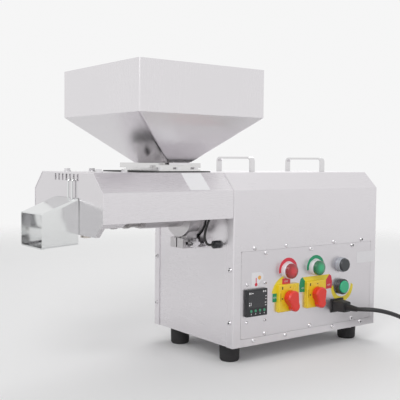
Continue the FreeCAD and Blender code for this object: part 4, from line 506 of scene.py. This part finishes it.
def plain_finish(name, colour, roughness, speckle=0.0, coat=0.0):
    """Printed film or gloss plastic: an even colour with slight cloudiness and an orange-peel skin."""
    recipe = Recipe(bpy.data.materials.new(name))
    place = recipe.node("TexCoord", output="Object")
    cloud = recipe.node("TexNoise", {"Vector": place, "Scale": 45.0, "Detail": 3.0})
    skin = recipe.node("TexNoise", {"Vector": place, "Scale": 900.0, "Detail": 2.0})
    deep = tuple(part * (0.93 - speckle) for part in colour[:3]) + (1.0,)
    return recipe.surface({
        "Base Color": recipe.mix(cloud, deep, colour),
        "Roughness": roughness + cloud * 0.12,
        "Coat Weight": coat,
        "Coat Roughness": 0.08,
        "Normal": recipe.node("Bump", {"Strength": 0.08, "Distance": 0.0001, "Height": skin})})


def card(corners, thickness, bevel=0.0, segments=4):
    """A flat plate that faces -Y: outline as (x, z) points at the back face, given as (x, y, z)."""
    shape = bmesh.new()
    outline = [shape.verts.new(corner) for corner in corners]
    face = shape.faces.new(outline)
    if bevel:
        bmesh.ops.bevel(shape, geom=outline, offset=bevel, segments=segments, profile=0.5,
                        affect="VERTICES", material=-1)
    raised = bmesh.ops.extrude_face_region(shape, geom=list(shape.faces))["geom"]
    verts = [item for item in raised if isinstance(item, bmesh.types.BMVert)]
    bmesh.ops.translate(shape, verts=verts, vec=(0, -thickness, 0))
    return shape


def rectangle(x_span, z_span, y):
    (x0, x1), (z0, z1) = x_span, z_span
    return [(x0, y, z0), (x1, y, z0), (x1, y, z1), (x0, y, z1)]


def gather(shapes):
    """Several small shapes as one, for print that is laid down together."""
    whole = bmesh.new()
    for shape in shapes:
        part = bpy.data.meshes.new("part")
        shape.to_mesh(part)
        shape.free()
        whole.from_mesh(part)
        bpy.data.meshes.remove(part)
    return whole


FILM = 0.0002
WINDOW_INSET = 0.0025
window_black = plain_finish("window_black", (0.012, 0.013, 0.017, 1), 0.1, coat=0.6)
white_print = plain_finish("white_print", (0.80, 0.80, 0.80, 1), 0.4)
key_green = plain_finish("key_green", (0.05, 0.30, 0.16, 1), 0.25, coat=0.4)
dress(black_moulding, "temperature_controller", "cable_gland", "cooling_fan")
dress(key_green, "controller_key_1", "controller_key_2", "controller_key_3", "controller_key_4")
side_length = controller_high.x - controller_low.x
window_low_z = controller_low.z + 0.33 * side_length
piece("controller_window",
      card(rectangle((controller_low.x + WINDOW_INSET, controller_high.x - WINDOW_INSET),
                     (window_low_z, controller_high.z - WINDOW_INSET), face_y), 2 * FILM, bevel=0.001),
      window_black, "frame")
# Bars of print: where each starts and how far it reaches, as shares of the face from its top left.
PRINT_BARS = ((0.10, 0.10, 0.05, 0.07), (0.17, 0.10, 0.03, 0.07), (0.23, 0.12, 0.07, 0.035),
              (0.76, 0.07, 0.06, 0.06), (0.86, 0.07, 0.05, 0.06),
              (0.88, 0.26, 0.05, 0.03), (0.88, 0.37, 0.05, 0.03), (0.86, 0.50, 0.07, 0.03), (0.87, 0.60, 0.06, 0.03),
              (0.10, 0.47, 0.05, 0.03), (0.10, 0.53, 0.05, 0.06), (0.19, 0.47, 0.02, 0.12))
bars = []
for start, drop, reach, tall in PRINT_BARS:
    x0 = controller_low.x + start * side_length
    z1 = controller_high.z - drop * side_length
    bars.append(card(rectangle((x0, x0 + reach * side_length), (z1 - tall * side_length, z1),
                               face_y - 2 * FILM), FILM / 2))
KEY_MARK = 0.0022
for number in range(1, 5):
    key_low, key_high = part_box("controller_key_%d" % number)
    middle_x = (key_low.x + key_high.x) / 2
    z1 = key_low.z - 0.0014
    bars.append(card([(middle_x - KEY_MARK / 2, face_y, z1 - KEY_MARK), (middle_x + KEY_MARK / 2, face_y, z1 - KEY_MARK),
                      (middle_x, face_y, z1)], FILM))
piece("controller_print", gather(bars), white_print, "frame")


# ---- Heat label ----
# A white sticker above the controller, with a red thermometer and a small sun, as on any heater.
panel_low, panel_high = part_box("control_panel")
panel_y = panel_low.y
HEAT_LEFT = 0.0153          # from the controller's left side to the sticker's
HEAT_LIFT = 0.0025          # above the controller
HEAT_OUTLINE = ((0.0, 0.0), (0.0142, 0.0), (0.0155, 0.006), (0.0205, 0.0098), (0.0265, 0.0125),
                (0.0275, 0.0185), (0.0255, 0.0235), (0.0195, 0.0262), (0.0, 0.0262))
heat_x = controller_low.x + HEAT_LEFT
heat_z = controller_high.z + HEAT_LIFT
label_white = plain_finish("label_white", (0.86, 0.86, 0.87, 1), 0.35, coat=0.2)
label_red = plain_finish("label_red", (0.70, 0.03, 0.06, 1), 0.35, coat=0.2)
label_green = plain_finish("label_green", (0.0, 0.30, 0.13, 1), 0.35, coat=0.2)
label_yellow = plain_finish("label_yellow", (0.88, 0.72, 0.04, 1), 0.35, coat=0.2)
label_orange = plain_finish("label_orange", (0.85, 0.45, 0.12, 1), 0.4)
ink_black = plain_finish("ink_black", (0.02, 0.02, 0.02, 1), 0.45)
piece("heat_label", card([(heat_x + x, panel_y, heat_z + z) for x, z in HEAT_OUTLINE], FILM, bevel=0.001),
      label_white, "frame")
THERMOMETER_X = 0.0102
BULB = (0.0046, 0.0031)     # height of the middle, radius
STEM = (0.0009, 0.0165)     # half width, top
SUN = (0.0178, 0.0165, 0.0036)
bulb = lathe([(0, 0), (0, BULB[1]), (FILM, BULB[1]), (FILM, 0)],
             (heat_x + THERMOMETER_X, panel_y - FILM, heat_z + BULB[0]), (0, -1, 0), steps=24)
stem = card(rectangle((heat_x + THERMOMETER_X - STEM[0], heat_x + THERMOMETER_X + STEM[0]),
                      (heat_z + BULB[0], heat_z + STEM[1]), panel_y - FILM), 0.9 * FILM, bevel=0.0006)
piece("heat_mark", gather([bulb, stem]), label_red, "frame")
sun = lathe([(0, 0), (0, SUN[2]), (FILM, SUN[2]), (FILM, 0)],
            (heat_x + SUN[0], panel_y - FILM, heat_z + SUN[1]), (0, -1, 0), steps=24)
piece("sun_mark", sun, label_orange, "frame")


# ---- Indicator lamps ----
# Two 22 mm lamps with pale collars and ribbed domes of red and green plastic, lit from behind when they are on.
# Each dome's colour is painted brighter towards its middle, a painted glow, as the domes give no light.
# A printed arc round each one is bare.
LENS_RIB = 0.0011
ARC = (0.0162, 0.0228)      # inner and outer radius
ARC_SHIFT = 0.003


def middle_of(name):
    low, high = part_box(name)
    return (low + high) / 2


def ribbed_lens(name, deep, bright, centre):
    recipe = Recipe(bpy.data.materials.new(name))
    place = recipe.node("TexCoord", output="Object")
    flat = recipe.node("Mapping", {"Vector": place, "Location": (-centre.x, 0, -centre.z), "Scale": (1, 0, 1)})
    radius = recipe.node("VectorMath", {0: flat}, {"operation": "LENGTH"}, output="Value")
    ribs = (radius * (2 * math.pi / LENS_RIB)).math("SINE", 0.0)
    # Painted glow: the colour runs from deep at the rim to bright in the middle, though the lens gives off no light.
    glow = recipe.step(radius, 0.014, 0.002)
    return recipe.surface({
        "Base Color": recipe.mix(glow * 0.75 + ribs * 0.1 + 0.1, deep, bright),
        "Roughness": 0.16 + ribs * 0.05,
        "Coat Weight": 0.7,
        "Coat Roughness": 0.05,
        "Subsurface Weight": 0.15,
        "Normal": recipe.node("Bump", {"Strength": 0.25, "Distance": 0.0003, "Height": ribs})})


def arc_label(name, centre, finish, first=-12, last=192):
    """A bare printed arc on the panel, from one angle to another about the lamp's middle."""
    shape = bmesh.new()
    start = Matrix.Rotation(math.radians(-first), 3, "Y") @ Vector((1, 0, 0))
    ends = [shape.verts.new(centre + start * radius) for radius in ARC]
    edge = shape.edges.new(ends)
    bmesh.ops.spin(shape, geom=ends + [edge], cent=centre, axis=(0, -1, 0), angle=math.radians(last - first), steps=36)
    bmesh.ops.recalc_face_normals(shape, faces=shape.faces)
    raised = bmesh.ops.extrude_face_region(shape, geom=list(shape.faces))["geom"]
    verts = [item for item in raised if isinstance(item, bmesh.types.BMVert)]
    bmesh.ops.translate(shape, verts=verts, vec=(0, -FILM, 0))
    piece(name, shape, finish, "frame")


collar_white = plain_finish("collar_white", (0.78, 0.76, 0.78, 1), 0.28, coat=0.3)
dress(collar_white, "lamp_collars")
red_middle = middle_of("red_lamp_lens")
green_middle = middle_of("green_lamp_lens")
dress(ribbed_lens("red_lens", (0.22, 0.002, 0.006, 1), (0.78, 0.02, 0.03, 1), red_middle), "red_lamp_lens")
dress(ribbed_lens("green_lens", (0.0, 0.10, 0.035, 1), (0.01, 0.55, 0.22, 1), green_middle), "green_lamp_lens")
for name, middle, finish, slot in (("red_arc", red_middle, label_red, "red_plastic"),
                                   ("green_arc", green_middle, label_green, "green_plastic")):
    arc_label(name, Vector((middle.x + ARC_SHIFT, panel_y, middle.z)), finish)


# ---- Push buttons ----
# A black stop button in a grey ring and a green start button in a black ring. The start button has
# a yellow crescent printed below it.
CRESCENT = (0.0245, 0.0305)     # inner and outer radius
CRESCENT_LIFT = 0.004           # the inner circle's middle stands this much higher
CRESCENT_SHIFT = 0.0055
collar_grey = plain_finish("collar_grey", (0.42, 0.44, 0.48, 1), 0.3, coat=0.2)
cap_black = plain_finish("cap_black", (0.035, 0.04, 0.045, 1), 0.25, coat=0.3)
cap_green = plain_finish("cap_green", (0.03, 0.50, 0.24, 1), 0.25, coat=0.4)
dress(collar_grey, "black_button_collar")
dress(cap_black, "black_button_cap", "green_button_collar")
dress(cap_green, "green_button_cap")
start_middle = middle_of("green_button_cap")
centre = Vector((start_middle.x + CRESCENT_SHIFT, panel_y, start_middle.z))
shape = bmesh.new()
ends = [shape.verts.new(centre + Vector((-radius, 0, 0))) for radius in CRESCENT]
edge = shape.edges.new(ends)
bmesh.ops.spin(shape, geom=ends + [edge], cent=centre, axis=(0, -1, 0), angle=math.pi, steps=36)
for vert in shape.verts:
    if (vert.co - centre).length < sum(CRESCENT) / 2:
        vert.co.z += CRESCENT_LIFT
raised = bmesh.ops.extrude_face_region(shape, geom=list(shape.faces))["geom"]
bmesh.ops.translate(shape, verts=[item for item in raised if isinstance(item, bmesh.types.BMVert)], vec=(0, -FILM, 0))
piece("start_crescent", shape, label_yellow, "frame")


# ---- Cam switches ----
# Two rotary switches with a thick square yellow plate and a pear-shaped red knob. The plates carry
# small printed marks, and stickers beside them say which way is on.
PLATE_MARKS = ((-0.36, 0.33, 0.05, 0.10), (0.02, 0.37, 0.05, 0.03), (-0.36, -0.03, 0.05, 0.05),
               (-0.42, -0.1, 0.015, 0.3))
switch_yellow = plain_finish("switch_yellow", (0.90, 0.66, 0.02, 1), 0.22, coat=0.35)
knob_red = plain_finish("knob_red", (0.84, 0.035, 0.02, 1), 0.24, coat=0.35)
dress(switch_yellow, "switch_plates")
dress(knob_red, "heat_switch_knob", "press_switch_knob")


def lettering(name, words, tall, spot, finish):
    """Flat print that faces -Y, centred on spot."""
    text = bpy.data.curves.new(name, "FONT")
    text.body = words
    text.size = tall
    text.align_x = "CENTER"
    text.align_y = "CENTER"
    text.extrude = FILM / 2
    text.resolution_u = 2
    made = bpy.data.objects.new(name, text)
    bpy.context.scene.collection.objects.link(made)
    bpy.context.view_layer.update()
    mesh = bpy.data.meshes.new_from_object(made)
    bpy.data.objects.remove(made)
    shape = bmesh.new()
    shape.from_mesh(mesh)
    bmesh.ops.remove_doubles(shape, verts=shape.verts, dist=1e-6)
    stand = Matrix.Translation(spot) @ Matrix.Rotation(math.pi / 2, 4, "X")
    bmesh.ops.transform(shape, matrix=stand, verts=shape.verts)
    piece(name, shape, finish, "frame")


plates_low, plates_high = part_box("switch_plates")
plate_side = plates_high.z - plates_low.z
plate_y = plates_low.y
plate_z = (plates_low.z + plates_high.z) / 2
heat_x = plates_low.x + plate_side / 2
press_x = plates_high.x - plate_side / 2
marks = []
for x_mid in (heat_x, press_x):
    for start, up, wide, tall in PLATE_MARKS:
        x0 = x_mid + start * plate_side
        z0 = plate_z + up * plate_side
        marks.append(card(rectangle((x0, x0 + wide * plate_side), (z0, z0 + tall * plate_side), plate_y), FILM / 2))
piece("switch_marks", gather(marks), ink_black, "frame")

# The press switch has a yellow strip above it, with a green wing on the left and a red one on the right.
BAND_TOP = 0.0331
BAND_HALF = 0.0355
WING_OUT = 0.0433
WING_SHIFT = 0.0045
wing_x = press_x + WING_SHIFT
piece("press_band", card([(wing_x - BAND_HALF, panel_y, plate_z + BAND_TOP), (wing_x - 0.024, panel_y, plate_z + 0.02),
                          (wing_x + 0.024, panel_y, plate_z + 0.02), (wing_x + BAND_HALF, panel_y, plate_z + BAND_TOP)],
                         FILM), label_yellow, "frame")
for name, way, finish, slot in (("press_on_wing", -1, label_green, "green_plastic"),
                                ("press_off_wing", 1, label_red, "red_plastic")):
    corners = [(wing_x + way * x, panel_y, plate_z + z) for x, z in
               ((BAND_HALF, BAND_TOP), (0.0405, 0.0300), (WING_OUT, 0.0190), (0.0425, 0.0060), (0.024, 0.0050),
                (0.024, 0.0200))]
    piece(name, card(corners, FILM), finish, "frame")
    lettering(name + "_word", "ON" if way < 0 else "OFF", 0.0046,
              (wing_x + way * 0.0345, panel_y - FILM, plate_z + 0.0125), white_print)

# The heat switch has a yellow quarter ring at its upper left, a red tab on top and a green tab on the left.
RING = (0.024, 0.0405)
ring_centre = Vector((heat_x + 0.0025, panel_y, plate_z + 0.001))
shape = bmesh.new()
start = Matrix.Rotation(math.radians(-106), 3, "Y") @ Vector((1, 0, 0))
ends = [shape.verts.new(ring_centre + start * radius) for radius in RING]
edge = shape.edges.new(ends)
bmesh.ops.spin(shape, geom=ends + [edge], cent=ring_centre, axis=(0, -1, 0), angle=math.radians(60), steps=16)
raised = bmesh.ops.extrude_face_region(shape, geom=list(shape.faces))["geom"]
bmesh.ops.translate(shape, verts=[item for item in raised if isinstance(item, bmesh.types.BMVert)], vec=(0, -FILM, 0))
piece("heat_band", shape, label_yellow, "frame")
TABS = (("heat_off_tab", (-0.0118, 0.0080), (0.0150, 0.0352), label_red, "red_plastic", "OFF", (-0.002, 0.0293)),
        ("heat_on_tab", (-0.0345, -0.0150), (-0.0058, 0.0095), label_green, "green_plastic", "ON", (-0.0295, 0.002)))
for name, x_span, z_span, finish, slot, words, spot in TABS:
    corners = rectangle([heat_x + x for x in x_span], [plate_z + z for z in z_span], panel_y - FILM)
    piece(name, card(corners, FILM), finish, "frame")
    lettering(name + "_word", words, 0.0052, (heat_x + spot[0], panel_y - 2 * FILM, plate_z + spot[1]),
              white_print)


# ---- Blank labels ----
# A white rating label crosses the panel's rear seam, and another is stuck on the arm's slope. Both
# are bare.
RATING = (0.0525, 0.0215)
RATING_DROP = 0.0195        # from the panel's top edge
cover_low, cover_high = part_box("housing_cover")
rating_x1 = cover_high.x - 0.003
rating_z1 = panel_high.z - RATING_DROP
piece("rating_label", card(rectangle((rating_x1 - RATING[0], rating_x1), (rating_z1 - RATING[1], rating_z1),
                                     cover_low.y), FILM, bevel=0.0008), label_white, "frame")
arm_low, arm_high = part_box("arm_cover")
ARM_CHAMFER = (0.031, 0.030)    # the slope's width in Y and in Z
ARM_LABEL_X = (-0.1185, -0.0785)
slope_in, slope_down = ARM_CHAMFER
shape = bmesh.new()
corners = []
for x, share in ((ARM_LABEL_X[0], 0.97), (ARM_LABEL_X[1], 0.97), (ARM_LABEL_X[1], 0.06), (ARM_LABEL_X[0], 0.06)):
    corners.append(shape.verts.new((x, arm_low.y + slope_in * share, arm_high.z - slope_down * (1 - share))))
shape.faces.new(corners)
raised = bmesh.ops.extrude_face_region(shape, geom=list(shape.faces))["geom"]
lifted = [item for item in raised if isinstance(item, bmesh.types.BMVert)]
bmesh.ops.translate(shape, verts=lifted, vec=Vector((0, -slope_down, slope_in)).normalized() * 2 * FILM)
piece("arm_label", shape, label_white, "frame")


# ---- Arm ----
# A sleeve of brushed stainless sheet round the press head, with a plate on its end and hexagon
# bolts through its roof.
arm_steel = brushed_sheet("arm_steel", STEEL_TINT, 0.28, (30.0, FINE, FINE))
end_steel = brushed_sheet("end_steel", (0.74, 0.72, 0.74, 1), 0.2, (FINE, FINE, 40.0))
dress(arm_steel, "arm_cover")
dress(end_steel, "arm_end_plate")
dress(pan_steel, "head_bracket")


# ---- Cake chute ----
# A tapered box of polished sheet that hangs by two wires from the slots of the end plate.
chute_steel = brushed_sheet("chute_steel", (0.80, 0.81, 0.81, 1), 0.13, (90.0, FINE, FINE), patches=0.1)
dress(chute_steel, "cake_chute")


# ---- Press head ----
# Turned and milled steel parts round the screw: turning leaves fine rings about the press axis.
screw_middle = middle_of("press_screw")


def turned_steel(name, tint, roughness, pitch):
    recipe = Recipe(bpy.data.materials.new(name))
    place = recipe.node("TexCoord", output="Object")
    flat = recipe.node("Mapping", {"Vector": place, "Location": (0, -screw_middle.y, -screw_middle.z),
                                   "Scale": (1, 1, 1)})
    parts = [recipe.node("SeparateXYZ", {0: flat}, output=letter) for letter in "XYZ"]
    radius = (parts[1] * parts[1] + parts[2] * parts[2]).math("SQRT", 0.0)
    rings = ((radius + parts[0]) * (2 * math.pi / pitch)).math("SINE", 0.0)
    oil = recipe.node("TexNoise", {"Vector": place, "Scale": 26.0, "Detail": 4.0})
    dark = tuple(0.72 * part for part in tint[:3]) + (1.0,)
    return recipe.surface({
        "Base Color": recipe.mix(oil, dark, tint),
        "Metallic": 1.0,
        "Roughness": roughness + rings * 0.04 + oil * 0.12,
        "Normal": recipe.node("Bump", {"Strength": 0.12, "Distance": 0.0001, "Height": rings})})


head_steel = turned_steel("head_steel", (0.66, 0.64, 0.65, 1), 0.26, 0.0006)
cage_steel = turned_steel("cage_steel", (0.52, 0.50, 0.50, 1), 0.34, 0.0008)
dress(head_steel, "clamp_housing", "feed_chamber", "nozzle_head", "choke_nut")
dress(cage_steel, "press_cage", "press_screw", "output_shaft", "layshaft")


# ---- Heater ----
# A steel-jacketed band heater round the nozzle, fed by a glass-braided cable.
jacket_steel = brushed_sheet("jacket_steel", (0.62, 0.58, 0.54, 1), 0.3, (FINE, 60.0, 60.0))
recipe = Recipe(bpy.data.materials.new("braided_cable"))
place = recipe.node("TexCoord", output="Object")
braid = recipe.node("TexWave", {"Vector": place, "Scale": 260.0, "Distortion": 2.0}, {"bands_direction": "DIAGONAL"})
braided_cable = recipe.surface({
    "Base Color": recipe.mix(braid, (0.02, 0.02, 0.02, 1), (0.06, 0.058, 0.056, 1)),
    "Roughness": 0.6 + braid * 0.2,
    "Normal": recipe.node("Bump", {"Strength": 0.4, "Distance": 0.0003, "Height": braid})})
dress(jacket_steel, "heater_band")
dress(braided_cable, "heater_cable")


# ---- Gate and hopper ----
# A square bin on an upturned pyramid, welded from brushed sheet. It stands on the pads of the gate's
# guide, and the gate slides between them over a black sheet that is a painted shadow: it stands in
# for the dark gap between the guide and the arm's top.
hopper_steel = brushed_sheet("hopper_steel", (0.81, 0.79, 0.81, 1), 0.25, (FINE, FINE, 25.0), patches=0.12)
gate_steel = brushed_sheet("gate_steel", (0.78, 0.77, 0.77, 1), 0.18, (40.0, FINE, FINE))
dress(hopper_steel, "hopper")
dress(gate_steel, "slide_gate", "gate_guide")
# The sheet under the gate is painted black as the shadow in the gap there.
dress(shadow_gap_black, "top_gasket")


# ---- Drive ----
# Inside the cabinet: a two-stage gearbox of cast aluminium, a finned motor and its fan, on a painted
# bracket. Nothing of it shows from outside.
recipe = Recipe(bpy.data.materials.new("cast_aluminium"))
place = recipe.node("TexCoord", output="Object")
sand = recipe.node("TexNoise", {"Vector": place, "Scale": 700.0, "Detail": 4.0})
stain = recipe.node("TexNoise", {"Vector": place, "Scale": 18.0, "Detail": 4.0})
cast_aluminium = recipe.surface({
    "Base Color": recipe.mix(stain, (0.42, 0.42, 0.43, 1), (0.58, 0.59, 0.6, 1)),
    "Metallic": 1.0,
    "Roughness": 0.45 + sand * 0.15,
    "Normal": recipe.node("Bump", {"Strength": 0.4, "Distance": 0.0003, "Height": sand})})
grey_coat = plain_finish("grey_coat", (0.22, 0.23, 0.25, 1), 0.45)
dress(cast_aluminium, "gearbox_case", "gearbox_cover", "motor_housing")
dress(grey_coat, "drive_bracket", "fan_cowl")
dress(polished_steel, "ball_bearings")
dress(cage_steel, "motor_rotor")
